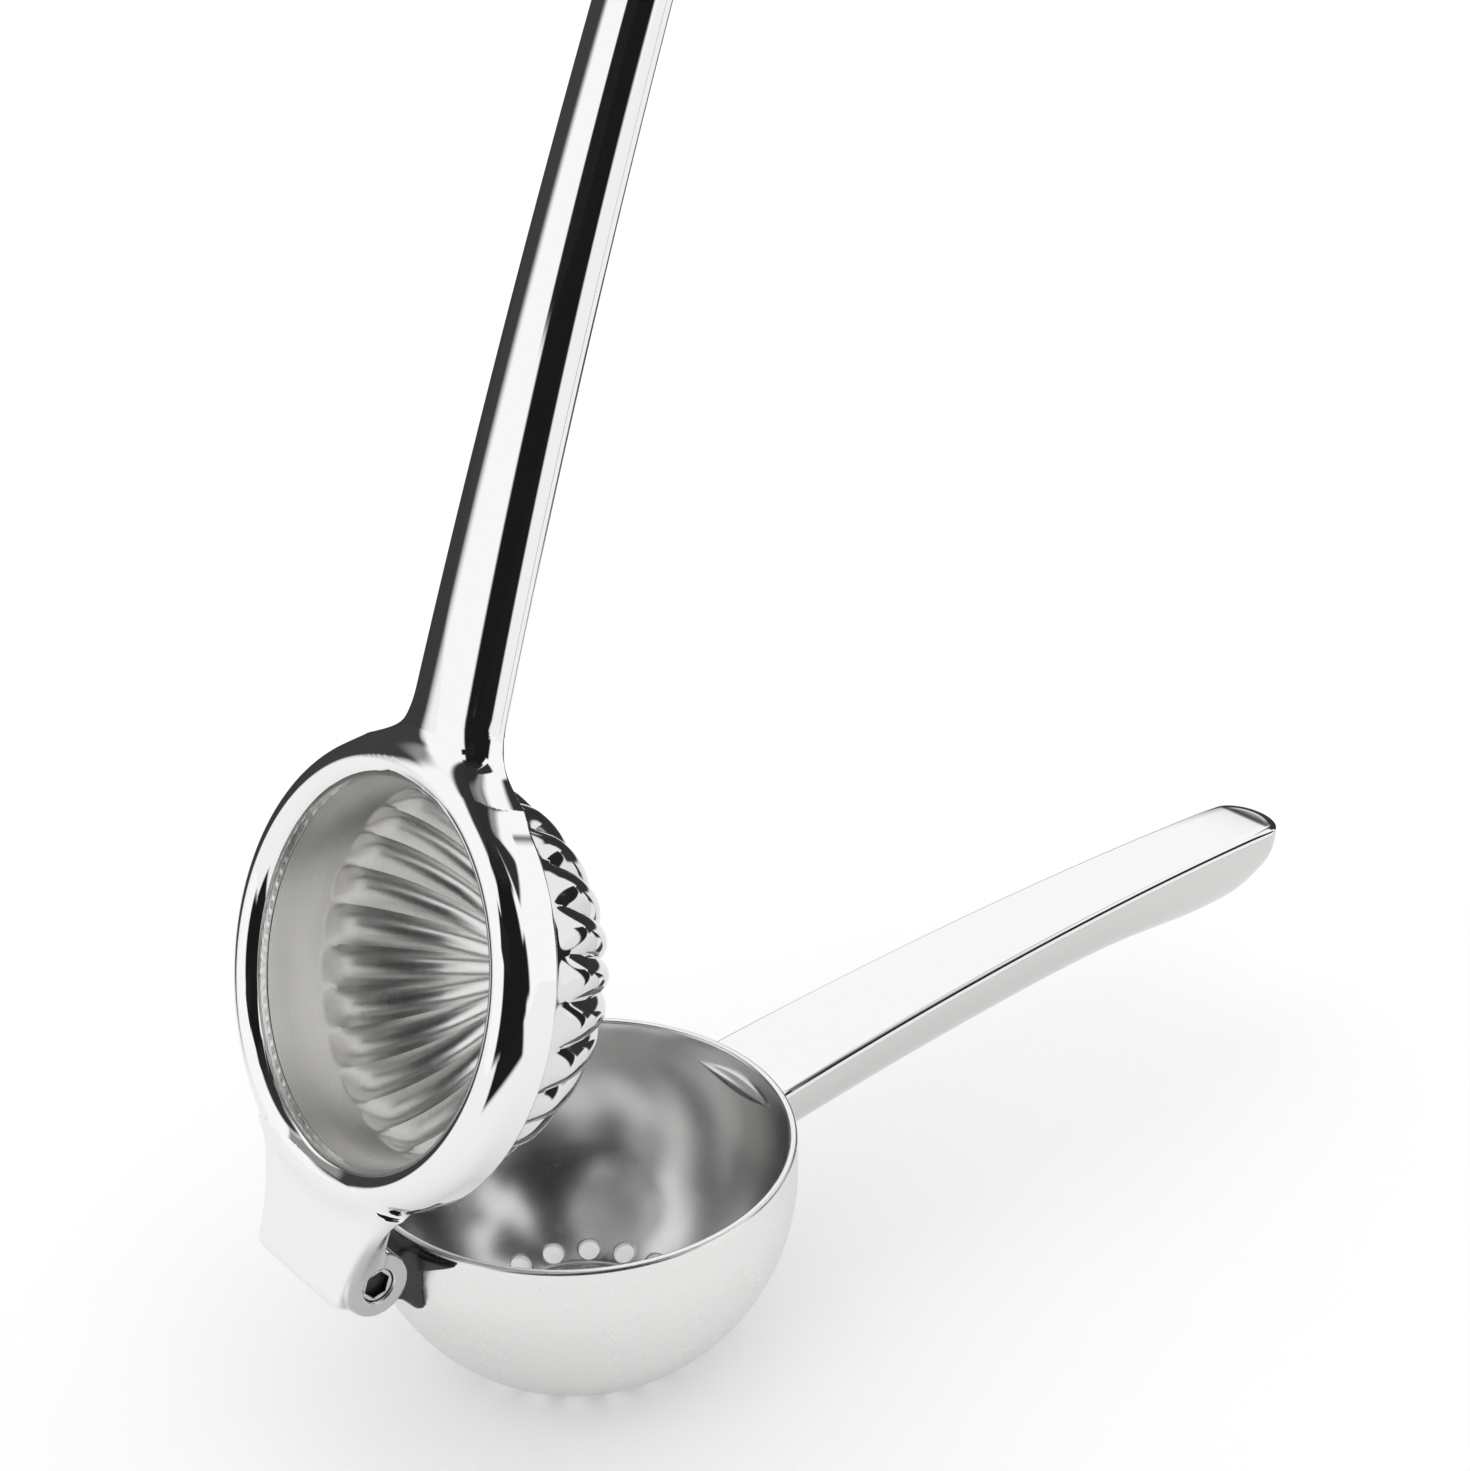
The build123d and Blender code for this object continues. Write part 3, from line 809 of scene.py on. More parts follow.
# ---------------------------------------------------------------- handles
@dataclass
class HollowHandle:
    """A handle made of a D-section trough and the flat plate that closes it.

    Args:
        name: first part of the pieces' names.
        body: the body that it rides.
        side: 1 where the flat face looks up, -1 where it looks down.
        half_widths: half widths at the bowl's wall, halfway and at the tip.
        faces: heights of the flat face at the same places.
        near: where the first of those places is.
        tip: the handle's end.
        plate: thickness of the plate.
        edge: rounding of the plate's edge along the sides.
        tip_edge: how far the same rounding runs in at the tip.
        tip_round: length of the rounded end in plan.
        sweep: length over which the keel rises to the tip.
        power: exponent of the D-section's curve.
        start: where the handle starts, at its root.
        groove: depth of the groove along the seam.
        root_length: stretch at the root whose stations are close.
        root_step: distance between those.
        even_count: stations on the even stretch.
        tip_count: stations towards the tip.
        section_points: points round the D-section.
        cap_rows: rows that close the root.
        edge_points: points over the plate's rounded edge.
        flat_points: points across the plate's flat face, with its two ends.
        tip_blend: stretch over which the edge's rounding changes, in lengths of the rounded end.
    """

    name: str
    body: Body
    side: int
    half_widths: tuple[float, float, float]
    faces: tuple[float, float, float]
    near: float = 38.0
    tip: float = 180.0
    plate: float = 1.5
    edge: float = 0.8
    tip_edge: float = 2.4
    tip_round: float = 5.6
    sweep: float = 15.0
    power: float = 2.4
    start: float = 38.0
    groove: float = 0.09
    root_length: float = 3.0
    root_step: float = 0.3
    even_count: int = 88
    tip_count: int = 44
    section_points: int = 61
    cap_rows: int = 8
    edge_points: int = 13
    flat_points: int = 9
    tip_blend: float = 2.2

    arc_share = 0.95  # share of a flare's radius over which its arc runs

    def through(self, values: tuple[float, float, float], x: np.ndarray) -> np.ndarray:
        """Parabola through three values at the near end, halfway and at the tip.

        Args:
            values: the three values.
            x: places along the handle.

        Returns:
            The parabola's values there.
        """
        share = (x - self.near) / (self.tip - self.near)
        first, middle, last = values
        return (first * (1 - share) * (1 - 2 * share) + 4 * middle * share * (1 - share)
                + last * share * (2 * share - 1))

    def rounding(self, x: np.ndarray, length: float) -> np.ndarray:
        """Quarter ellipse that closes a shape over its last stretch: root of one minus a square."""
        share = np.clip((x - self.tip + length) / length, 0.0, 1.0)
        return np.sqrt(np.maximum(1 - share * share, 0.0))

    def flare(self, x: np.ndarray, circle: float, fillet: float) -> np.ndarray:
        """Extra half width where the side runs into a circle through a concave arc: the arc's radius
        less the root of its square minus the square of the way past the meeting point.

        Args:
            x: places along the handle.
            circle: radius of the circle, about the bowl's axis.
            fillet: radius of the concave arc.

        Returns:
            The extra half widths.
        """
        reach = circle + fillet
        meeting = math.sqrt(reach**2 - (self.half_widths[0] + fillet) ** 2)
        run_in = np.clip(meeting - x, 0.0, self.arc_share * fillet)
        return fillet - np.sqrt(fillet**2 - run_in**2)

    def root(self, x: np.ndarray) -> np.ndarray:
        """Extra half width at the handle's root."""
        raise NotImplementedError

    def depth(self, x: np.ndarray) -> np.ndarray:
        """Depth of the trough under the seam."""
        raise NotImplementedError

    def half_width(self, x: np.ndarray) -> np.ndarray:
        """Half width in plan."""
        return self.through(self.half_widths, x) * self.rounding(x, self.tip_round) + self.root(x)

    def stations(self) -> np.ndarray:
        """Places along the handle: close at the root, even, then on the sine of an even angle at the tip.

        Returns:
            The places in millimetres, from the root to the tip.
        """
        root = self.start + np.arange(0.0, self.root_length, self.root_step)
        even = np.linspace(self.start + self.root_length, self.tip - self.sweep, self.even_count)
        angle = np.linspace(0, math.pi / 2, self.tip_count)[1:]
        return np.concatenate([root, even, self.tip - self.sweep * (1 - np.sin(angle))])

    def trough(self) -> bpy.types.Object:
        """D-section carried along the handle: y is the half width times a power of the cosine of the
        section's angle, z the depth times the same power of its sine.

        Returns:
            The trough's object.
        """
        x = self.stations()[:, None]
        turn = np.linspace(0, math.pi, self.section_points)[None, :]
        seam = self.through(self.faces, x) - self.side * self.plate
        across = -np.sign(np.cos(turn)) * np.abs(np.cos(turn)) ** (2 / self.power)
        below = np.sin(turn) ** (2 / self.power)
        y = self.half_width(x) * across
        z = seam - self.side * self.depth(x) * below
        grid = np.stack(np.broadcast_arrays(x, y, z), axis=-1)
        lip = grid[:, [0, -1]].copy()
        lip[..., 1] *= 1 - self.groove / np.maximum(np.abs(lip[..., 1]), 1.0)
        grid[:-1, [0, -1], 2] -= self.side * 0.5 * self.groove
        grid = self.trimmed(np.concatenate([lip[:, :1], grid, lip[:, 1:]], axis=1))
        sheet = Sheet(f"{self.name}_trough", self.body)
        sheet.add(grid, ring=True)
        sheet.add(self.cap(grid[:1]), ring=True)
        return sheet.build()

    def cap(self, edge: np.ndarray) -> np.ndarray:
        """Rows that shrink from the root's edge to its middle, fitted as the root is.

        Args:
            edge: the root's row, of shape (1, columns, 3).

        Returns:
            Grid that closes the root.
        """
        share = np.linspace(0, 1, self.cap_rows)[:, None, None]
        return self.trimmed(edge * (1 - share) + edge.mean(axis=1, keepdims=True) * share)

    def trimmed(self, grid: np.ndarray) -> np.ndarray:
        """The grid with its root fitted to what carries it; left as it is by default."""
        return grid

    def lid(self) -> bpy.types.Object:
        """Flat plate with rounded edges: rows run across from seam to seam, and each line of points along
        the rounded edge is the plan outline moved inwards along its own normal, by up to its radius.

        Returns:
            The plate's object.
        """
        x = self.stations()
        half = self.half_width(x)
        slope_x, slope_y = np.gradient(x), np.gradient(half)
        size = np.hypot(slope_x, slope_y)
        normal_x, normal_y = -slope_y / size, slope_x / size
        normal_x[-1], normal_y[-1] = 1.0, 0.0
        towards_tip = step(x, self.tip - self.tip_blend * self.tip_round, self.tip)
        radius = self.edge + (self.tip_edge - self.edge) * towards_tip
        face = self.through(self.faces, x)
        turn = np.linspace(0, math.pi / 2, self.edge_points)
        inward = radius[:, None] * (1 - np.cos(turn))
        drop = self.edge * (1 - np.sin(turn))[None, :]
        edge_x = x[:, None] - normal_x[:, None] * inward
        edge_y = np.maximum(half[:, None] - normal_y[:, None] * inward, 0.0)
        edge_z = face[:, None] - self.side * drop
        seam_z = face - self.side * (self.plate - 0.5 * self.groove)
        low = np.stack([x, half, seam_z], axis=-1)[:, None]
        under = np.stack([x - normal_x * self.groove, half - normal_y * self.groove,
                          face - self.side * self.plate], axis=-1)[:, None]
        right = np.concatenate([under, low, np.stack([edge_x, edge_y, edge_z], axis=-1)], axis=1)
        left = (right * np.array([1, -1, 1]))[:, ::-1]
        share = np.linspace(0, 1, self.flat_points)[1:-1][None, :, None]
        flat = right[:, -1:] * (1 - share) + left[:, :1] * share
        grid = self.trimmed(np.concatenate([right, flat, left], axis=1))
        sheet = Sheet(f"{self.name}_lid", self.body)
        sheet.add(grid, ring=True)
        sheet.add(self.cap(grid[:1]), ring=True)
        return sheet.build()

    def build(self, finishes: tuple[Steel, Steel], nodes: tuple[str, str], slot: str) -> None:
        """Makes trough and plate, dresses them and puts them in place of their solids.

        Args:
            finishes: the steel of the trough and of the plate.
            nodes: the solids of the trough and the plate.
            slot: the record's material slot; not used.
        """
        for piece, finish, node in zip((self.trough(), self.lid()), finishes, nodes):
            dress(piece, finish)
            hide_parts(node)


@dataclass
class BowlHandle(HollowHandle):
    """The bowl's handle, with a swell in its keel near the tip and its root in the bowl's wall.

    Args:
        depth_even: depth of the trough away from the swell.
        swell: greatest extra depth.
        swell_place: where that is.
        swell_length: how far from there it falls to 0.37 of that.
        bowl_radius: outside of the bowl.
        bowl_centre: height of the centre of the bowl's ball.
        sunk: how far the root stands in the bowl's wall.
        root_fillet: fillet in plan against the bowl.
    """

    depth_even: float = 11.5
    swell: float = 2.6
    swell_place: float = 158.0
    swell_length: float = 22.0
    bowl_radius: float = 38.0
    bowl_centre: float = -6.7
    sunk: float = 0.7
    root_fillet: float = 3.0
    start: float = 34.0

    def depth(self, x: np.ndarray) -> np.ndarray:
        """Even depth plus a bell-shaped swell, closed at the tip."""
        swell = self.swell * np.exp(-(((x - self.swell_place) / self.swell_length) ** 2))
        return (self.depth_even + swell) * self.rounding(x, self.sweep)

    def root(self, x: np.ndarray) -> np.ndarray:
        """Small fillet in plan against the bowl."""
        return self.flare(x, self.bowl_radius, self.root_fillet)

    def trimmed(self, grid: np.ndarray) -> np.ndarray:
        """Moves points inside the bowl's wall out to just under its outer face: a ball, upright over
        the ball's centre.

        Args:
            grid: points in the rim frame.

        Returns:
            The same grid, changed in place.
        """
        radius = self.bowl_radius - self.sunk
        low = np.minimum(grid[..., 2] - self.bowl_centre, 0.0)
        limit = np.sqrt(np.maximum(radius**2 - grid[..., 1] ** 2 - low**2, 0.0))
        grid[..., 0] = np.maximum(grid[..., 0], limit)
        return grid


@dataclass
class PressHandle(HollowHandle):
    """The press arm's handle, whose root meets the cast neck.

    Args:
        depths: depths of the trough at the bowl's wall, halfway and at the tip.
        ring_radius: outside of the ring.
        neck_fillet: radius of the flare in plan towards the ring.
    """

    depths: tuple[float, float, float] = (6.4, 6.3, 5.0)
    ring_radius: float = 37.2
    neck_fillet: float = 12.0
    start: float = 42.0

    def depth(self, x: np.ndarray) -> np.ndarray:
        """Parabola of depths, closed at the tip."""
        return self.through(self.depths, x) * self.rounding(x, self.sweep)

    def root(self, x: np.ndarray) -> np.ndarray:
        """Concave flare towards the ring."""
        return self.flare(x, self.ring_radius, self.neck_fillet)


# ---------------------------------------------------------------- press arm
class PressFrame(Casting):
    """Ring, neck, hinge block and cheeks in one casting.

    Args:
        handle: the press handle, whose section the neck carries on.
        pitch: the grid's cell size in millimetres.
    """

    bottom = 0.2
    crown_radius = 33.3
    crown_height = 9.3
    outer_radius = 37.2
    shoulder = 4.1
    lip_radius = 30.35
    lip_height = 6.3
    seat_radius = 31.8
    seat_height = 5.2
    block_end = -52.3
    block_top = 7.1
    block_half = 12.7
    block_flare = 30.0
    block_top_round = 3.0
    block_end_round = 2.0
    flare_share = 0.8  # share of the flare's radius over which its arc runs
    flare_heights = (0.5, 5.0)  # the flare grows between these
    lobe_radius = 5.5
    slot_half = 7.6
    slot_radius = 5.0
    sink_radius = 2.9
    sink_depth = 2.2
    neck_end = 44.6
    held_from = 33.4  # the neck's section doesn't change before this place
    neck_step = 0.04  # how much lower the neck is inside the handle's trough
    neck_step_length = 0.6
    fillet = 3.0
    lobe_fillet = 0.8
    bottom_round = 0.6
    lobe_round = 0.6
    slot_round = 0.4
    sink_round = 0.3
    seat_round = 0.5
    satin_facing = (0.55, 0.95)  # the satin grows as the surface turns sideways
    satin_behind = (34.0, 42.0)  # and over these distances behind the bowl's axis

    def __init__(self, handle: PressHandle, pitch: float = 0.4) -> None:
        """Sets the grid round the ring, the neck and the cheeks."""
        super().__init__(low=(-54.0, -38.2, -6.5), high=(45.6, 38.2, 10.3), pitch=pitch,
                         thin=((0.0, 1.2), (4.8, 6.8)))
        self.handle = handle

    def ring(self, x: np.ndarray, y: np.ndarray, z: np.ndarray) -> np.ndarray:
        """Rounded crown: a quarter ellipse outside its top and another inside, each as the length of
        the way from its centre in its own half axes, less one.

        Args:
            x, y, z: places in the rim frame.

        Returns:
            The ring's field.
        """
        radius = np.hypot(x, y)
        wide = self.outer_radius - self.crown_radius
        tall = self.crown_height - self.shoulder
        outer = np.hypot(np.maximum(radius - self.crown_radius, 0) / wide,
                         np.maximum(z - self.shoulder, 0) / tall)
        narrow = self.crown_radius - self.lip_radius
        low = self.crown_height - self.lip_height
        inner = np.hypot(np.maximum(self.crown_radius - radius, 0) / narrow,
                         np.maximum(z - self.lip_height, 0) / low)
        return np.maximum((outer - 1) * wide, (inner - 1) * narrow)

    def neck(self, x: np.ndarray, y: np.ndarray, z: np.ndarray) -> np.ndarray:
        """The handle's D-section, with its sides carried down, between the ring and the handle.

        Args:
            x, y, z: places in the rim frame.

        Returns:
            The neck's field.
        """
        handle = self.handle
        held = np.clip(x, self.held_from, None)
        half = handle.half_width(held)
        depth = handle.through(handle.depths, held)
        seam = handle.through(handle.faces, held) + handle.plate
        rise = np.maximum(z - seam, 0) / depth
        section = (np.abs(y / half) ** handle.power + rise**handle.power) ** (1 / handle.power)
        inside = step(x, handle.start, handle.start + self.neck_step_length)
        section = (section - 1) * depth + self.neck_step * inside
        return np.maximum(section, np.maximum(self.crown_radius - x, x - self.neck_end))

    def block(self, x: np.ndarray, y: np.ndarray, z: np.ndarray) -> np.ndarray:
        """Hinge block: flat top and end, and sides whose upper part sweeps out to the ring.

        Args:
            x, y, z: places in the rim frame.

        Returns:
            The block's field.
        """
        reach = self.outer_radius + self.block_flare
        meeting = math.sqrt(reach**2 - (self.block_half + self.block_flare) ** 2)
        run_in = np.clip(meeting + x, 0.0, self.flare_share * self.block_flare)
        flare = self.block_flare - np.sqrt(self.block_flare**2 - run_in**2)
        side = np.abs(y) - self.block_half - flare * step(z, *self.flare_heights)
        body = meet(side, z - self.block_top, self.block_top_round)
        body = meet(body, self.block_end - x, self.block_end_round)
        return np.maximum(body, x + self.crown_radius)

    def satin(self, points: np.ndarray, slope: np.ndarray) -> np.ndarray:
        """The cheeks' sides: where the surface faces sideways, behind the ring."""
        facing = np.abs(slope[:, 1]) / np.linalg.norm(slope, axis=1)
        return step(facing, *self.satin_facing) * step(-points[:, 0], *self.satin_behind)

    def field(self, x: np.ndarray, y: np.ndarray, z: np.ndarray) -> np.ndarray:
        """Ring, neck and block joined with fillets, then the cheeks' lobes, slot, seat and sinks.

        Args:
            x, y, z: places in the rim frame.

        Returns:
            The casting's field.
        """
        metal = join(self.ring(x, y, z), self.neck(x, y, z), self.fillet)
        metal = join(metal, self.block(x, y, z), self.fillet)
        metal = meet(metal, self.bottom - z, self.bottom_round)
        from_pin = np.hypot(x + ROW.pin_to_axis, z)
        lobe = np.maximum(from_pin - self.lobe_radius, self.slot_half - np.abs(y))
        lobe = meet(lobe, np.abs(y) - self.block_half, self.lobe_round)
        metal = join(metal, lobe, self.lobe_fillet)
        gate = np.maximum(np.abs(x + ROW.pin_to_axis) - self.slot_radius, z)
        slot = np.maximum(np.minimum(from_pin - self.slot_radius, gate), np.abs(y) - self.slot_half)
        metal = cut(metal, slot, self.slot_round)
        sink = np.maximum(from_pin - self.sink_radius, self.block_half - self.sink_depth - np.abs(y))
        metal = cut(metal, sink, self.sink_round)
        seat = np.maximum(np.hypot(x, y) - self.seat_radius, z - self.seat_height)
        return cut(metal, seat, self.seat_round)


@dataclass
class PressCup:
    """Fluted pressing cup of one sheet: an outer and an inner face with the same flutes.

    Args:
        outer_radius: radius of the ball and of the band over it.
        wall: thickness of the sheet.
        straight_end: height where the band ends and the ball starts.
        rim: height of the band's upper edge.
        flutes: flutes round the cup.
        flute_height: height of a full flute.
        flute_start: polar angle where the flutes start, in degrees from straight down.
        flute_rise: angle over which a flute grows to its full height.
        flute_share: largest height of a flute, as a share of its half width.
        per_flute: columns to each flute.
        rows: rows on the ball.
        band_rows: rows on the band.
    """

    outer_radius: float = 31.8
    wall: float = 1.2
    straight_end: float = 1.9
    rim: float = 5.1
    flutes: int = 26
    flute_height: float = 2.0
    flute_start: float = 77.0
    flute_rise: float = 14.0
    flute_share: float = 0.9
    per_flute: int = 14
    rows: int = 100
    band_rows: int = 5

    def face(self, inset: float) -> np.ndarray:
        """Face of the cup: a ball whose radius grows, between creases, by the flute's height times one
        minus the square of the way from its crest.

        Args:
            inset: distance inside the outer face.

        Returns:
            Grid from the rim to the pole, all the way round.
        """
        radius = self.outer_radius - inset
        polar = np.concatenate([np.full(self.band_rows, 90.0), np.linspace(90.0, 0.0, self.rows)])
        band = np.linspace(self.rim, self.straight_end, self.band_rows + 1)[:-1]
        height = np.concatenate([band, np.zeros(self.rows)])
        base = radius * np.sin(np.radians(polar))
        z = np.where(height > 0, height, self.straight_end - radius * np.cos(np.radians(polar)))
        grown = np.clip((self.flute_start - polar) / self.flute_rise, 0.0, 1.0)
        crest = np.minimum(self.flute_height * np.sin(grown * math.pi / 2),
                           self.flute_share * base * math.pi / self.flutes)
        count = self.flutes * self.per_flute
        turn = np.arange(count) / self.per_flute
        from_crest = 2 * (turn - np.floor(turn)) - 1
        out = base[:, None] + crest[:, None] * (1 - from_crest**2)[None, :]
        angle = (turn - 0.5) * TURN / self.flutes
        level = np.broadcast_to(z[:, None], out.shape)
        return np.stack([out * np.cos(angle), out * np.sin(angle), level], axis=-1)

    def build(self, *finishes: Steel) -> None:
        """Makes the cup in place of its solid, with a finish outside and another inside.

        Args:
            finishes: the steel outside and inside.
        """
        outer, inner = self.face(0.0), self.face(self.wall)
        sheet = Sheet("press_cup_sheet", Body.PRESS_ARM)
        sheet.add(outer, ring=True)
        sheet.add(inner, ring=True, coat=1)
        sheet.add(np.stack([outer[0], inner[0]]), ring=True)
        cup = sheet.build(sharp=50.0)
        dress(cup, *finishes)
        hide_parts("press_cup")


# ---------------------------------------------------------------- bowl
@dataclass
class Bowl:
    """Pressed bowl with a rounded rim and three rings of juice holes.

    Every place on its lower part is a direction from the ball's centre, and the face's distance in
    that direction is that of the foot's plane, of the blend round the foot or of the ball.

    Args:
        radius: outside of the bowl.
        wall: thickness of the sheet.
        straight: height of the straight band under the rim.
        foot_radius: radius of the flat that it stands on.
        blend: outside radius between the foot and the round wall.
        blend_rise: drop from the ball's centre to that of the blend's circle.
        rim_round: rounding of the rim's edges.
        hole: radius of a juice hole.
        hole_edge: rounding of a hole's edges.
        columns: columns round the bowl.
        lip_points: points over a hole's rounded lip.
        run_in_points: points from a sector's border to the lip, with both ends.
        side_points: points on a sector's straight side, in the inner, middle and outer ring.
        disc_rows: rows on the plain middle of the foot.
        between_rows: rows between the middle and the outer ring of holes.
        upper_rows: rows from the outer ring of holes to the band.
        band_rows: rows on the straight band.
        rim_points: points over each rounded edge of the rim.
        disc: radius of the plain middle of the foot.
        inner_ring: holes, their distance from the axis and the ring's last radius.
        middle_ring: the same for the next ring.
        outer_ring: holes, their angle and the ring's first and last angle from straight down.
    """

    radius: float = 38.0
    wall: float = 1.5
    straight: float = 6.7
    foot_radius: float = 16.0
    blend: float = 4.0
    blend_rise: float = 30.0
    rim_round: float = 0.5
    hole: float = 1.9
    hole_edge: float = 0.25
    columns: int = 288
    lip_points: int = 5
    run_in_points: int = 7
    side_points: tuple[int, int, int] = (8, 6, 6)
    disc_rows: int = 4
    between_rows: int = 12
    upper_rows: int = 34
    band_rows: int = 4
    rim_points: int = 6
    disc: float = 3.5
    inner_ring: tuple[int, float, float] = (6, 6.5, 9.4)
    middle_ring: tuple[int, float, float] = (12, 12.4, 15.2)
    outer_ring: tuple[int, float, float, float] = (18, 31.0, 27.2, 35.2)

    def border(self, count: int, low: float, high: float, side: int) -> tuple[np.ndarray, np.ndarray]:
        """Walk round the border of the sector at azimuth 0: along its first edge, up one straight side,
        back along its last edge and down the other side.

        Args:
            count: sectors in the ring.
            low: the sector's first radius or angle.
            high: its last.
            side: points on each straight side.

        Returns:
            The azimuths, and the radii or angles, of the points passed.
        """
        steps = self.columns // count
        half = math.pi / count
        across = np.linspace(-half, half, steps + 1)[:-1]
        rise = low + (high - low) * np.linspace(0, 1, side + 1)[:-1]
        turns = np.concatenate([across, np.full(side, half), -across, np.full(side, -half)])
        levels = np.concatenate([np.full(steps, low), rise, np.full(steps, high), low + high - rise])
        return turns, levels

    def lip(self) -> tuple[np.ndarray, np.ndarray]:
        """A hole's rounded lip, as radii from its axis and depths under the face: a quarter circle."""
        arc = np.radians(np.linspace(0, 90, self.lip_points))
        return self.hole + self.hole_edge * (1 - np.sin(arc)), self.hole_edge * (1 - np.cos(arc))

    def reach(self, polar: np.ndarray, inset: float | np.ndarray) -> np.ndarray:
        """Distance from the ball's centre to the face, by the angle from straight down: the plane's
        height over the cosine, the far root of the blend's circle, or the radius.

        Args:
            polar: angles in radians.
            inset: distance inside the outer face.

        Returns:
            The distances in millimetres.
        """
        plane = (self.blend_rise + self.blend - inset) / np.cos(np.minimum(polar, 1.2))
        along = self.foot_radius * np.sin(polar) + self.blend_rise * np.cos(polar)
        apart = self.foot_radius**2 + self.blend_rise**2 - along**2
        round_part = along + np.sqrt(np.maximum((self.blend - inset) ** 2 - apart, 0.0))
        flat_end = math.atan2(self.foot_radius, self.blend_rise + self.blend)
        blend_end = math.atan2(self.foot_radius, self.blend_rise)
        face = np.where(polar < flat_end, plane, round_part)
        return np.where(polar > blend_end, self.radius - inset, face)

    def face(self, way: np.ndarray, inset: float | np.ndarray) -> np.ndarray:
        """Points of the face in directions from the ball's centre.

        Args:
            way: directions of any length, last axis x, y, z.
            inset: distance inside the outer face.

        Returns:
            Points in the rim frame.
        """
        way = way / np.linalg.norm(way, axis=-1, keepdims=True)
        polar = np.arccos(np.clip(-way[..., 2], -1, 1))
        return way * self.reach(polar, inset)[..., None] - np.array([0, 0, self.straight])

    def belt(self, polar: np.ndarray, inset: float) -> np.ndarray:
        """Rows of the face all round, one for each angle from straight down in radians.

        Args:
            polar: the angles.
            inset: distance inside the outer face.

        Returns:
            Grid of shape (angles, columns, 3).
        """
        turn = np.linspace(0, TURN, self.columns, endpoint=False)
        way = np.stack(np.broadcast_arrays(np.sin(polar)[:, None] * np.cos(turn),
                                           np.sin(polar)[:, None] * np.sin(turn),
                                           -np.cos(polar)[:, None]), axis=-1)
        return self.face(way, inset)

    def sector(self, count: int, polar: float, low: float, high: float, side: int) -> np.ndarray:
        """One sector with its hole: rows run from the sector's outer edge straight towards the hole,
        round the hole's edge, through the wall and out again to the sector's inner edge.

        Args:
            count: sectors in the ring.
            polar: the hole's angle from straight down, in radians.
            low: the sector's first angle from straight down.
            high: the sector's last angle.
            side: points on each straight side of the sector.

        Returns:
            Ring grid for the hole at azimuth 0, of shape (rows, columns, 3).
        """
        turns, polars = self.border(count, low, high, side)
        edge = np.stack([np.sin(polars) * np.cos(turns), np.sin(polars) * np.sin(turns), -np.cos(polars)],
                        axis=-1)
        axis = np.array([math.sin(polar), 0.0, -math.cos(polar)])
        apart = edge - (edge @ axis)[:, None] * axis
        apart /= np.linalg.norm(apart, axis=1, keepdims=True)
        wide, deep = self.lip()
        share = np.linspace(0, 1, self.run_in_points)[:-1]
        rows = []
        for inset, sign in ((0.0, 1), (self.wall, -1)):
            reach = float(self.reach(np.array(polar), inset))
            lip = (axis * np.sqrt(reach**2 - wide**2)[:, None, None]
                   + apart[None] * wide[:, None, None]) * ((reach - sign * deep) / reach)[:, None, None]
            way = edge * (1 - share)[:, None, None] + lip[:1] / reach * share[:, None, None]
            run_in = self.face(way, inset)
            part = np.concatenate([run_in, lip - np.array([0, 0, self.straight])])
            rows.append(part[::sign])
        return np.concatenate(rows)

    def flat_sector(self, count: int, circle: float, low: float, high: float, side: int) -> np.ndarray:
        """The same in the foot's plane: straight lines from the sector's edge to the hole's circle.

        Args:
            count: sectors in the ring.
            circle: distance of the hole from the axis.
            low: the sector's first radius.
            high: its last radius.
            side: points on each straight side of the sector.

        Returns:
            Ring grid for the hole at azimuth 0, of shape (rows, columns, 3).
        """
        turns, radii = self.border(count, low, high, side)
        edge = np.stack([radii * np.cos(turns), radii * np.sin(turns)], axis=-1)
        apart = edge - np.array([circle, 0.0])
        apart /= np.linalg.norm(apart, axis=1, keepdims=True)
        wide, deep = self.lip()
        share = np.linspace(0, 1, self.run_in_points)[:-1]
        lip = np.array([circle, 0.0]) + apart[None] * wide[:, None, None]
        plan = np.concatenate([edge * (1 - share)[:, None, None] + lip[:1] * share[:, None, None], lip])
        drop = np.concatenate([np.zeros(len(share)), deep])
        foot = -self.straight - self.blend_rise - self.blend
        rows = []
        for inset, sign in ((0.0, 1), (self.wall, -1)):
            height = np.broadcast_to((foot + inset + sign * drop)[:, None, None], (*plan.shape[:2], 1))
            rows.append(np.concatenate([plan, height], axis=-1)[::sign])
        return np.concatenate(rows)

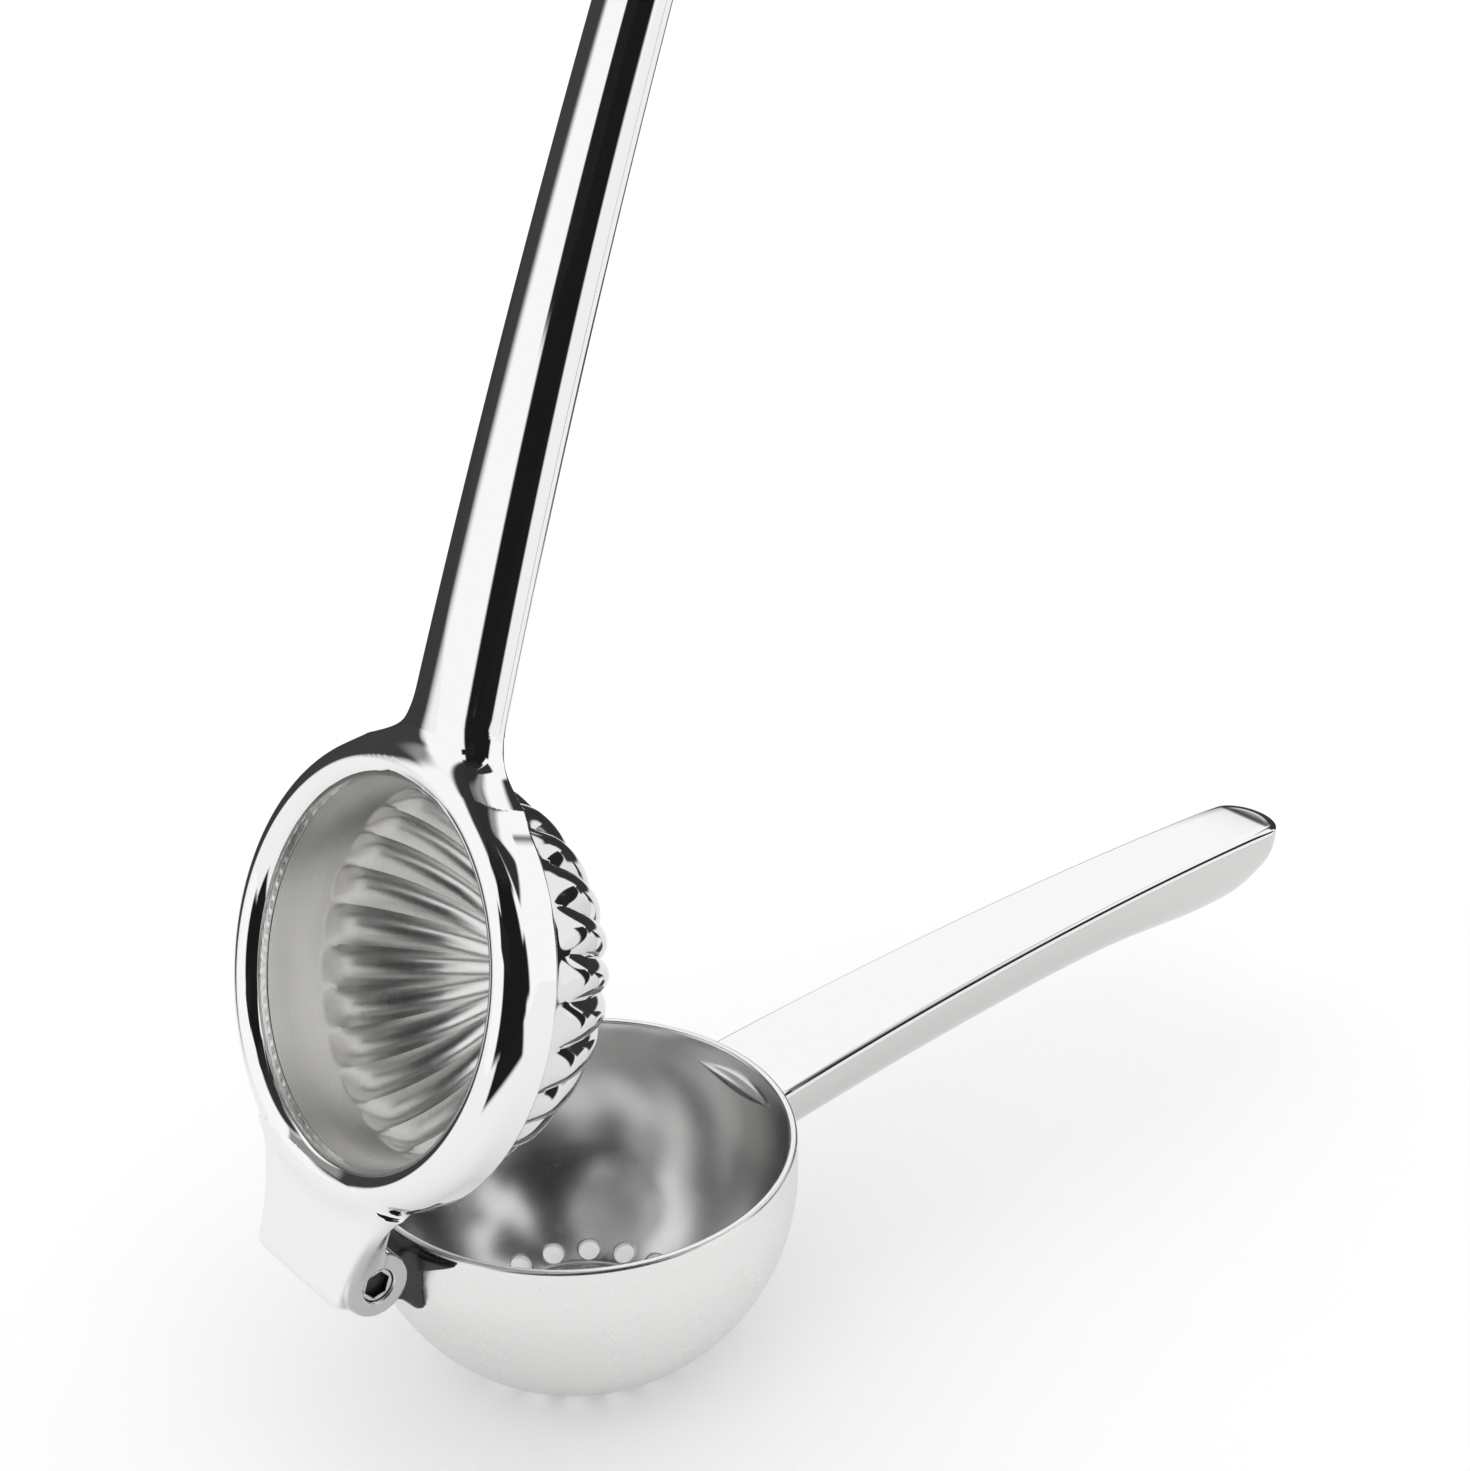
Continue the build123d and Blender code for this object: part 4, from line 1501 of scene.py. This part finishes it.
    def build(self, *finishes: Steel) -> None:
        """Makes the bowl in place of its solid, with a finish outside and another inside.

        Args:
            finishes: the steel outside and inside.
        """
        sheet = Sheet("bowl_sheet", Body.BOWL_ARM)
        foot = self.blend_rise + self.blend
        sides = self.side_points
        count, circle, end = self.inner_ring
        rings = [(self.flat_sector(count, circle, self.disc, end, sides[0]), count, 0.0)]
        start, (count, circle, end) = end, self.middle_ring
        rings.append((self.flat_sector(count, circle, start, end, sides[1]), count, 0.0))
        count, place, low, high = self.outer_ring
        low, high = math.radians(low), math.radians(high)
        rings.append((self.sector(count, math.radians(place), low, high, sides[2]), count, 0.5))
        for patch, count, shift in rings:
            coats = (np.arange(len(patch) - 1) >= len(patch) // 2).astype(int)
            for number in range(count):
                angle = TURN * (number + shift) / count
                turn = np.array([[math.cos(angle), math.sin(angle), 0],
                                 [-math.sin(angle), math.cos(angle), 0], [0, 0, 1]])
                sheet.add(patch @ turn, ring=True, coat=coats)
        for inset in (0.0, self.wall):
            height = foot - inset
            middle = np.arctan2(np.linspace(0, self.disc, self.disc_rows), height)
            between = np.linspace(math.atan2(end, height), low, self.between_rows)
            upper = np.linspace(high, math.pi / 2, self.upper_rows)
            for polar in (middle, between, upper):
                sheet.add(self.belt(polar, inset), ring=True, coat=int(inset > 0))
        arc = np.radians(np.linspace(0, 90, self.rim_points))
        rim, band = self.rim_round, self.band_rows
        side_z = np.linspace(-self.straight, -rim, band + 1)[:-1]
        outer_r = np.concatenate([np.full(band, self.radius), self.radius - rim * (1 - np.cos(arc))])
        outer_z = np.concatenate([side_z, -rim * (1 - np.sin(arc))])
        inner = self.radius - self.wall
        inner_r = np.concatenate([np.full(band, inner), inner + rim * (1 - np.cos(arc))])
        profile = np.concatenate([np.stack([outer_r, outer_z], axis=-1),
                                  np.stack([inner_r, outer_z], axis=-1)[::-1]])
        sheet.add(spun(profile, self.columns), ring=True,
                  coat=(np.arange(len(profile) - 1) > len(profile) // 2).astype(int))
        bowl = sheet.build()
        dress(bowl, *finishes)
        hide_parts("bowl_cup")


class Lug(Casting):
    """Knuckle, web and the saddle that is welded to the bowl's wall.

    Args:
        bowl: the bowl that carries it.
        pitch: the grid's cell size in millimetres.
    """

    knuckle = 4.6
    half_width = 7.0
    bore = 2.34
    web_top = -0.8
    foot = (-36.5, -12.5)
    saddle = 1.2
    saddle_half = (16.0, 8.2, 7.0)
    saddle_place = (-0.8, -4.8, -12.5)
    saddle_fillet = 2.4
    web_fillet = 0.6
    edge_round = 0.8
    corner_round = 1.0
    hole_round = 0.2
    inner_end = -33.4  # the grid's cut, inside the bowl's form

    def __init__(self, bowl: Bowl, pitch: float = 0.36) -> None:
        """Sets the grid round the knuckle and the saddle."""
        super().__init__(low=(-53.2, -16.8, -13.6), high=(-32.6, 16.8, 5.2), pitch=pitch)
        self.bowl = bowl

    def from_bowl(self, x: np.ndarray, y: np.ndarray, z: np.ndarray) -> np.ndarray:
        """Distance from the bowl's outer face, over the ball and its straight band."""
        return np.sqrt(x**2 + y**2 + np.minimum(z + self.bowl.straight, 0.0) ** 2) - self.bowl.radius

    def field(self, x: np.ndarray, y: np.ndarray, z: np.ndarray) -> np.ndarray:
        """Knuckle and web joined, then the saddle's skin, less the bowl's form and the pin's bore.

        Args:
            x, y, z: places in the rim frame.

        Returns:
            The lug's field.
        """
        reach = math.hypot(self.foot[0] + ROW.pin_to_axis, self.foot[1])
        aim = math.atan2(self.foot[1], self.foot[0] + ROW.pin_to_axis) - math.acos(self.knuckle / reach)
        from_pin = np.hypot(x + ROW.pin_to_axis, z)
        under = (x + ROW.pin_to_axis) * math.cos(aim) + z * math.sin(aim) - self.knuckle
        web = np.maximum(np.maximum(under, z - self.web_top), -(x + ROW.pin_to_axis))
        arm = join(from_pin - self.knuckle, web, self.web_fillet)
        arm = meet(arm, np.abs(y) - self.half_width, self.edge_round)
        outside = self.from_bowl(x, y, z)
        half = np.interp(z, self.saddle_place[::-1], self.saddle_half[::-1])
        pad = meet(np.abs(y) - half, z - self.saddle_place[0], self.corner_round)
        pad = meet(np.maximum(pad, self.saddle_place[2] - z), outside - self.saddle, self.edge_round)
        metal = join(arm, pad, self.saddle_fillet)
        metal = cut(metal, outside, self.hole_round)
        metal = np.maximum(metal, x - self.inner_end)
        return cut(metal, from_pin - self.bore, self.hole_round)


# ---------------------------------------------------------------- pin and washers
@dataclass
class PinHalf:
    """Half of the hinge pin: a round head with a hexagon socket, and the shank behind it.

    Args:
        name: the object's name.
        side: -1 or 1, the cheek that its head lies in.
        shank: pairs of radius and length behind the head's shoulder, down to the last face.
        face: the head's face, from the middle of the hinge.
        radius: radius of the head.
        length: length of the head.
        edge: rounding of the head's edge.
        socket: half the width of the hexagon, across its flats.
        socket_depth: depth of the socket.
        socket_cone: how far the middle of the socket's floor lies under the floor's edge.
        socket_lip: pairs of extra radius and depth over the socket's broken edge.
        columns: columns round the pin.
        edge_points: points over the rounding of the head's edge.
        face_rows: first row of bright faces, and the one after the last.
    """

    name: str
    side: int
    shank: tuple[tuple[float, float], ...]
    face: float = 12.3
    radius: float = 2.8
    length: float = 1.8
    edge: float = 0.3
    socket: float = 2.0
    socket_depth: float = 1.3
    socket_cone: float = 0.25
    socket_lip: tuple[tuple[float, float], ...] = ((0.0, 0.15), (0.12, 0.02), (0.2, 0.0))
    columns: int = 96
    edge_points: int = 5
    face_rows: tuple[int, int] = (3, 9)

    def build(self, finish: Steel, shade: Steel, node: str) -> None:
        """Spins the profile round the pin; in the socket the radius is that of a hexagon, its half
        width over the cosine of the angle from the nearest flat's middle.

        Args:
            finish: the steel of the head's face.
            shade: steel whose near-black tone is painted shade, in the socket and down the sides.
            node: the solid that it takes the place of.
        """
        turn = np.linspace(0, TURN, self.columns, endpoint=False)
        flat = np.mod(turn, TURN / 6) - TURN / 12
        hexagon = self.socket / np.cos(flat)
        arc = np.radians(np.linspace(0, 90, self.edge_points))
        rows = [(0.0 * hexagon, self.socket_depth + self.socket_cone),
                (0.98 * hexagon, self.socket_depth), (hexagon, self.socket_depth - 0.05)]
        rows += [(hexagon + extra, depth) for extra, depth in self.socket_lip]
        rows += [(np.full(self.columns, self.radius - self.edge * (1 - math.sin(angle))),
                  self.edge * (1 - math.cos(angle))) for angle in arc]
        rows += [(np.full(self.columns, radius), self.length + depth) for radius, depth in
                 ((self.radius, -0.02), (self.radius, 0.0), *self.shank)]
        radii = np.stack([row[0] for row in rows])
        depth = np.array([row[1] for row in rows])[:, None]
        y = np.broadcast_to(self.side * (self.face - depth), radii.shape)
        grid = np.stack([radii * np.cos(turn) - ROW.pin_to_axis, y, radii * np.sin(turn)], axis=-1)
        coats = np.full(len(rows) - 1, 1)
        coats[self.face_rows[0] : self.face_rows[1]] = 0
        sheet = Sheet(self.name, Body.PRESS_ARM)
        sheet.add(grid, ring=True, coat=coats)
        pin = sheet.build(sharp=30.0)
        dress(pin, finish, shade)
        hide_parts(node)


@dataclass
class Washers:
    """The two thin washers between the knuckle and the cheeks.

    Args:
        start: the inner face, from the middle of the hinge.
        thickness: thickness of a washer.
        outer: outer radius.
        bore: radius of the hole.
        edge: width of the broken edges.
        columns: columns round a washer.
    """

    start: float = 7.05
    thickness: float = 0.5
    outer: float = 4.3
    bore: float = 2.34
    edge: float = 0.08
    columns: int = 96

    def build(self, finish: Nylon) -> None:
        """Spins a rounded rectangle round the pin on both sides, as one object.

        Args:
            finish: the washers' nylon.
        """
        edge, end = self.edge, self.start + self.thickness
        profile = np.array([(self.bore, self.start + edge), (self.bore + edge, self.start),
                            (self.outer - edge, self.start), (self.outer, self.start + edge),
                            (self.outer, end - edge), (self.outer - edge, end), (self.bore + edge, end),
                            (self.bore, end - edge), (self.bore, self.start + edge)])
        sheet = Sheet("thrust_washer_pair", Body.PRESS_ARM)
        for side in (-1, 1):
            grid = spun(profile, self.columns)
            sheet.add(np.stack([grid[..., 0] - ROW.pin_to_axis, side * grid[..., 2], grid[..., 1]], axis=-1),
                      ring=True)
        pair = sheet.build(sharp=30.0)
        dress(pair, finish)
        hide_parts("thrust_washers")


# ---------------------------------------------------------------- studio
@dataclass(frozen=True)
class Card:
    """A soft-edged card in the room round the object, as the metal sees it.

    Args:
        azimuths: its first and last azimuth in degrees, from +X towards +Y.
        elevations: its lowest and highest elevation in degrees.
        level: its brightness.
        soft: width of its soft edge in degrees.
    """

    azimuths: tuple[float, float]
    elevations: tuple[float, float]
    level: float
    soft: float = 4.0


@dataclass(frozen=True)
class Cloth:
    """A dark cloth on the table beyond the object, seen only in the metal.

    Args:
        azimuths: its first and last azimuth in degrees, from +X towards +Y.
        reach: distances in metres from the bowl's axis where it starts to show and shows fully.
        level: its brightness.
        soft: width of its soft sides in degrees.
    """

    azimuths: tuple[float, float]
    reach: tuple[float, float]
    level: float
    soft: float


@dataclass(frozen=True)
class Panel:
    """A dark panel that hangs near the object, part of an upright cylinder, seen only in the metal.

    Args:
        name: the object's name.
        span: its first and last place across: azimuths in degrees, from +X towards +Y.
        heights: heights of its lower and upper edge in metres.
        distance: its distance from the bowl's axis in metres.
        level: its brightness.
        soft: share of its width and height over which it fades out at each edge.
    """

    name: str
    span: tuple[float, float]
    heights: tuple[float, float]
    distance: float
    level: float
    soft: float = 0.15

    columns = 61
    rows = 31

    def surface(self, across: np.ndarray, up: np.ndarray) -> np.ndarray:
        """Points of the upright cylinder, at azimuths in degrees and heights in metres."""
        turn = np.radians(across)
        return np.stack([self.distance * np.cos(turn), self.distance * np.sin(turn), up], axis=-1)

    def build(self) -> None:
        """Makes the panel from a grid over its two spans; it fades by the share from its edges."""
        across, up = np.meshgrid(np.linspace(0, 1, self.columns), np.linspace(0, 1, self.rows),
                                 indexing="ij")
        grid = self.surface(self.span[0] + (self.span[1] - self.span[0]) * across,
                            self.heights[0] + (self.heights[1] - self.heights[0]) * up)
        index = np.arange(across.size).reshape(across.shape)
        quads = np.stack([index[:-1, :-1], index[1:, :-1], index[1:, 1:], index[:-1, 1:]], axis=-1)
        mesh = bpy.data.meshes.new(self.name)
        mesh.from_pydata(grid.reshape(-1, 3).tolist(), [], quads.reshape(-1, 4).tolist())
        inward = np.minimum(np.minimum(across, 1 - across), np.minimum(up, 1 - up))
        fade = mesh.attributes.new("fade", "FLOAT", "POINT")
        fade.data.foreach_set("value", step(inward, 0.0, self.soft).reshape(-1))
        panel = bpy.data.objects.new(self.name, mesh)
        bpy.context.scene.collection.objects.link(panel)
        material = bpy.data.materials.new(self.name)
        material.use_nodes = True
        nodes = Nodes(material.node_tree)
        material.node_tree.nodes.clear()
        clear = nodes.add("ShaderNodeBsdfTransparent")
        dark = nodes.add("ShaderNodeEmission", Color=(*[self.level] * 3, 1))
        share = nodes.add("ShaderNodeAttribute", attribute_name="fade").outputs["Fac"]
        shown = nodes.cover(share, clear.outputs[0], dark.outputs[0])
        nodes.feed(nodes.add("ShaderNodeOutputMaterial"), "Surface", shown)
        mesh.materials.append(material)
        panel.visible_camera = False
        panel.visible_diffuse = False
        panel.visible_shadow = False
        panel.visible_transmission = False


@dataclass(frozen=True)
class Flag(Panel):
    """A flat panel beside the object: its span runs along X in metres, and its distance is its place
    along Y."""

    def surface(self, across: np.ndarray, up: np.ndarray) -> np.ndarray:
        """Points of a plane across Y."""
        return np.stack([across, np.full_like(across, self.distance), up], axis=-1)


@dataclass
class Studio:
    """White table, white room, the dark and grey shapes that only the metal shows, and the camera.

    Args:
        floor_half: half the width of the table top in metres.
        floor_tone: the table top's tone.
        floor_mottle: how much darker its faint mottle gets.
        floor_full: what its paint in full light and its glow add up to for the camera.
        metal_glow: share of that glow that the metal shows.
        white: brightness of the room.
        camera_place: the camera's place in metres.
        aim_azimuth: where it looks, in degrees from +X towards +Y.
        aim_elevation: the same over the horizon.
        roll: how far it is turned about its own axis.
        lens: its focal length in millimetres.
        cloths: the cloths on the table.
        cards: the cards in the room, each laid over those before it.
        panels: the panels near the object.
    """

    floor_half: float = 6.0
    floor_tone: float = 0.86
    floor_mottle: float = 0.01
    floor_full: float = 1.04
    metal_glow: float = 0.4
    white: float = 1.0
    camera_place: tuple[float, float, float] = (-0.214519, -0.303228, 0.295576)
    aim_azimuth: float = 50.3454
    aim_elevation: float = -25.8658
    roll: float = -0.9037
    lens: float = 63.795
    cloths: tuple[Cloth, ...] = (
        Cloth((-146.0, -84.0), (0.24, 0.32), 0.012, 6.0),
        Cloth((60.0, 128.0), (0.22, 0.34), 0.045, 8.0),
        Cloth((-12.0, 42.0), (0.25, 0.31), 0.04, 6.0),
    )
    cards: tuple[Card, ...] = (
        Card((-190.0, 190.0), (64.0, 120.0), 0.30, 14.0),
        Card((76.0, 190.0), (60.0, 120.0), 0.035, 10.0),
        Card((-190.0, -68.0), (56.0, 120.0), 0.02, 8.0),
        Card((-190.0, 190.0), (77.0, 120.0), 0.03, 8.0),
        Card((-62.0, -24.0), (44.0, 84.0), 0.03, 6.0),
        Card((82.0, 126.0), (20.0, 58.0), 0.28, 8.0),
        Card((60.0, 127.0), (-34.0, 26.0), 0.05, 8.0),
        Card((-4.0, 40.0), (-14.0, 22.0), 0.035, 6.0),
        Card((-2.0, 28.0), (10.0, 34.0), 0.035, 6.0),
        Card((22.0, 36.0), (40.0, 58.0), 0.05, 5.0),
        Card((30.0, 62.0), (-10.0, 14.0), 0.05, 5.0),
        Card((-148.0, -70.0), (6.0, 34.0), 0.01, 6.0),
        Card((-165.0, -79.0), (0.0, 64.0), 0.01, 7.0),
        Card((-142.0, -84.0), (-40.0, 20.0), 0.01, 5.0),
    )
    panels: tuple[Panel, ...] = (
        Panel("left_panel", span=(-176.0, -130.0), heights=(0.31, 0.50), distance=0.45, level=0.015,
              soft=0.1),
        Flag("front_flag", span=(0.085, 0.42), heights=(0.0, 0.145), distance=-0.10, level=0.02,
             soft=0.06),
    )

    def world(self) -> None:
        """White room: the cards are seen by glossy rays alone, so they leave the plain light as it is."""
        world = bpy.data.worlds.new("white room")
        bpy.context.scene.world = world
        world.use_nodes = True
        nodes = Nodes(world.node_tree)
        way = nodes.add("ShaderNodeSeparateXYZ", Vector=nodes.add("ShaderNodeTexCoord").outputs["Generated"])
        azimuth = nodes.maths("ARCTAN2", way.outputs["Y"], way.outputs["X"])
        azimuth = nodes.maths("DEGREES", azimuth)
        elevation = nodes.maths("DEGREES", nodes.maths("ARCSINE", way.outputs["Z"]))
        path = nodes.add("ShaderNodeLightPath")
        level = self.white
        for card in self.cards:
            mask = nodes.maths("MULTIPLY", nodes.window(azimuth, card.azimuths, card.soft),
                               nodes.window(elevation, card.elevations, card.soft))
            level = nodes.level(mask, level, card.level)
        back = world.node_tree.nodes["Background"]
        nodes.feed(back, "Color", nodes.level(path.outputs["Is Glossy Ray"], self.white, level))
        nodes.feed(back, "Strength", 1.0)

    def floor(self) -> None:
        """White table: painted top that also glows a little, in full for the camera and in part for
        the metal, and dark cloths from beyond the object outwards that only the metal shows."""
        mesh = bpy.data.meshes.new("table top")
        half = self.floor_half
        corners = [(-half, -half, 0), (half, -half, 0), (half, half, 0), (-half, half, 0)]
        mesh.from_pydata(corners, [], [(0, 1, 2, 3)])
        floor = bpy.data.objects.new("table_top", mesh)
        bpy.context.scene.collection.objects.link(floor)
        material = bpy.data.materials.new("white table")
        material.use_nodes = True
        nodes = Nodes(material.node_tree)
        material.node_tree.nodes.clear()
        place = nodes.add("ShaderNodeTexCoord").outputs["Object"]
        noise = nodes.add("ShaderNodeTexNoise", Scale=30.0, Detail=3.0, Vector=place)
        paint = nodes.add("ShaderNodeBsdfDiffuse",
                          Color=nodes.spread(noise.outputs["Fac"], self.floor_tone - self.floor_mottle,
                                             self.floor_tone))
        path = nodes.add("ShaderNodeLightPath")
        seen = nodes.maths("ADD", path.outputs["Is Camera Ray"],
                           nodes.maths("MULTIPLY", path.outputs["Is Glossy Ray"], self.metal_glow))
        strength = nodes.maths("MULTIPLY", seen, self.floor_full - self.floor_tone)
        glow = nodes.add("ShaderNodeEmission", Strength=strength)
        both = nodes.add("ShaderNodeAddShader")
        nodes.feed(both, "0", paint.outputs[0])
        nodes.feed(both, "1", glow.outputs[0])
        parts = nodes.add("ShaderNodeSeparateXYZ", Vector=place)
        azimuth = nodes.maths("DEGREES", nodes.maths("ARCTAN2", parts.outputs["Y"], parts.outputs["X"]))
        far = nodes.add("ShaderNodeVectorMath", operation="LENGTH")
        nodes.feed(far, "0", place)
        top = both.outputs[0]
        for cloth in self.cloths:
            beyond = nodes.add("ShaderNodeMapRange", interpolation_type="SMOOTHSTEP",
                               Value=far.outputs["Value"], From_Min=cloth.reach[0], From_Max=cloth.reach[1])
            laid = nodes.maths("MULTIPLY", beyond.outputs["Result"],
                               nodes.window(azimuth, cloth.azimuths, cloth.soft))
            dark = nodes.add("ShaderNodeEmission", Color=(*[cloth.level] * 3, 1))
            share = nodes.maths("MULTIPLY", laid, path.outputs["Is Glossy Ray"])
            top = nodes.cover(share, top, dark.outputs[0])
        nodes.feed(nodes.add("ShaderNodeOutputMaterial"), "Surface", top)
        mesh.materials.append(material)

    def camera(self) -> None:
        """Sets the camera from its place, its aim and its roll."""
        data = bpy.data.cameras.new("camera")
        data.sensor_width = 36.0
        data.sensor_fit = "AUTO"
        data.lens = self.lens
        data.clip_start = 0.01
        camera = bpy.data.objects.new("camera", data)
        bpy.context.scene.collection.objects.link(camera)
        azimuth, rise = math.radians(self.aim_azimuth), math.radians(self.aim_elevation)
        ahead = Vector((math.cos(rise) * math.cos(azimuth), math.cos(rise) * math.sin(azimuth),
                        math.sin(rise)))
        level = ahead.cross(Vector((0, 0, 1))).normalized()
        upright = level.cross(ahead)
        roll = math.radians(self.roll)
        right = level * math.cos(roll) + upright * math.sin(roll)
        up = right.cross(ahead)
        turn = Matrix((right, up, -ahead)).transposed().to_4x4()
        camera.matrix_world = Matrix.Translation(self.camera_place) @ turn
        bpy.context.scene.camera = camera

    def build(self) -> None:
        """Builds the room, the table, the panels and the camera."""
        self.world()
        self.floor()
        for panel in self.panels:
            panel.build()
        self.camera()
        bpy.context.scene.view_settings.view_transform = "Standard"


def main() -> None:
    """Loads the solids, dresses each sub-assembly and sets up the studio."""
    logging.basicConfig(level=logging.INFO, format="%(name)s: %(message)s")
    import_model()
    finishes = Finishes()
    lower = BowlHandle("bowl_handle", Body.BOWL_ARM, side=1, half_widths=(10.7, 8.8, 7.4),
                       faces=(-2.9, 1.1, 0.3))
    # The lower trough's keel steel carries painted shade: it is darker than the lid, though the same steel.
    lower.build((finishes.keel, finishes.handle), ("bowl_handle_shell", "bowl_handle_plate"),
                "handle_steel")
    upper = PressHandle("press_handle", Body.PRESS_ARM, side=-1, half_widths=(9.4, 7.3, 6.1),
                        faces=(-0.2, 1.7, 1.1), sweep=16.0)
    upper.build((finishes.handle, finishes.handle), ("press_handle_shell", "press_handle_plate"),
                "handle_steel")
    bowl = Bowl()
    bowl.build(finishes.bowl, finishes.bowl_inside)
    # The lug's finish is near black: painted shade for the gap between the cheeks and the bowl.
    for piece, name, body, node, finish in (
        (PressFrame(upper), "press_casting", Body.PRESS_ARM, "press_frame", finishes.cast),
        (Lug(bowl), "lug_casting", Body.BOWL_ARM, "bowl_lug", finishes.lug),
    ):
        casting = piece.build(name, body)
        dress(casting, finish)
        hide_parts(node)
    PressCup().build(finishes.cup, finishes.cup_inside)
    barrel = PinHalf("pin_barrel", side=-1,
                     shank=((2.3, 0.0), (2.3, 20.9), (1.5, 20.9), (1.5, 10.9), (0.0, 10.9)))
    barrel.build(finishes.pin, finishes.shade, "pivot_barrel")
    screw = PinHalf("pin_screw", side=1, shank=((1.46, 0.0), (1.46, 9.0), (0.0, 9.0)))
    screw.build(finishes.pin, finishes.shade, "pivot_screw")
    Washers().build(finishes.washer)
    Studio().build()


if __name__ == "__main__":
    main()
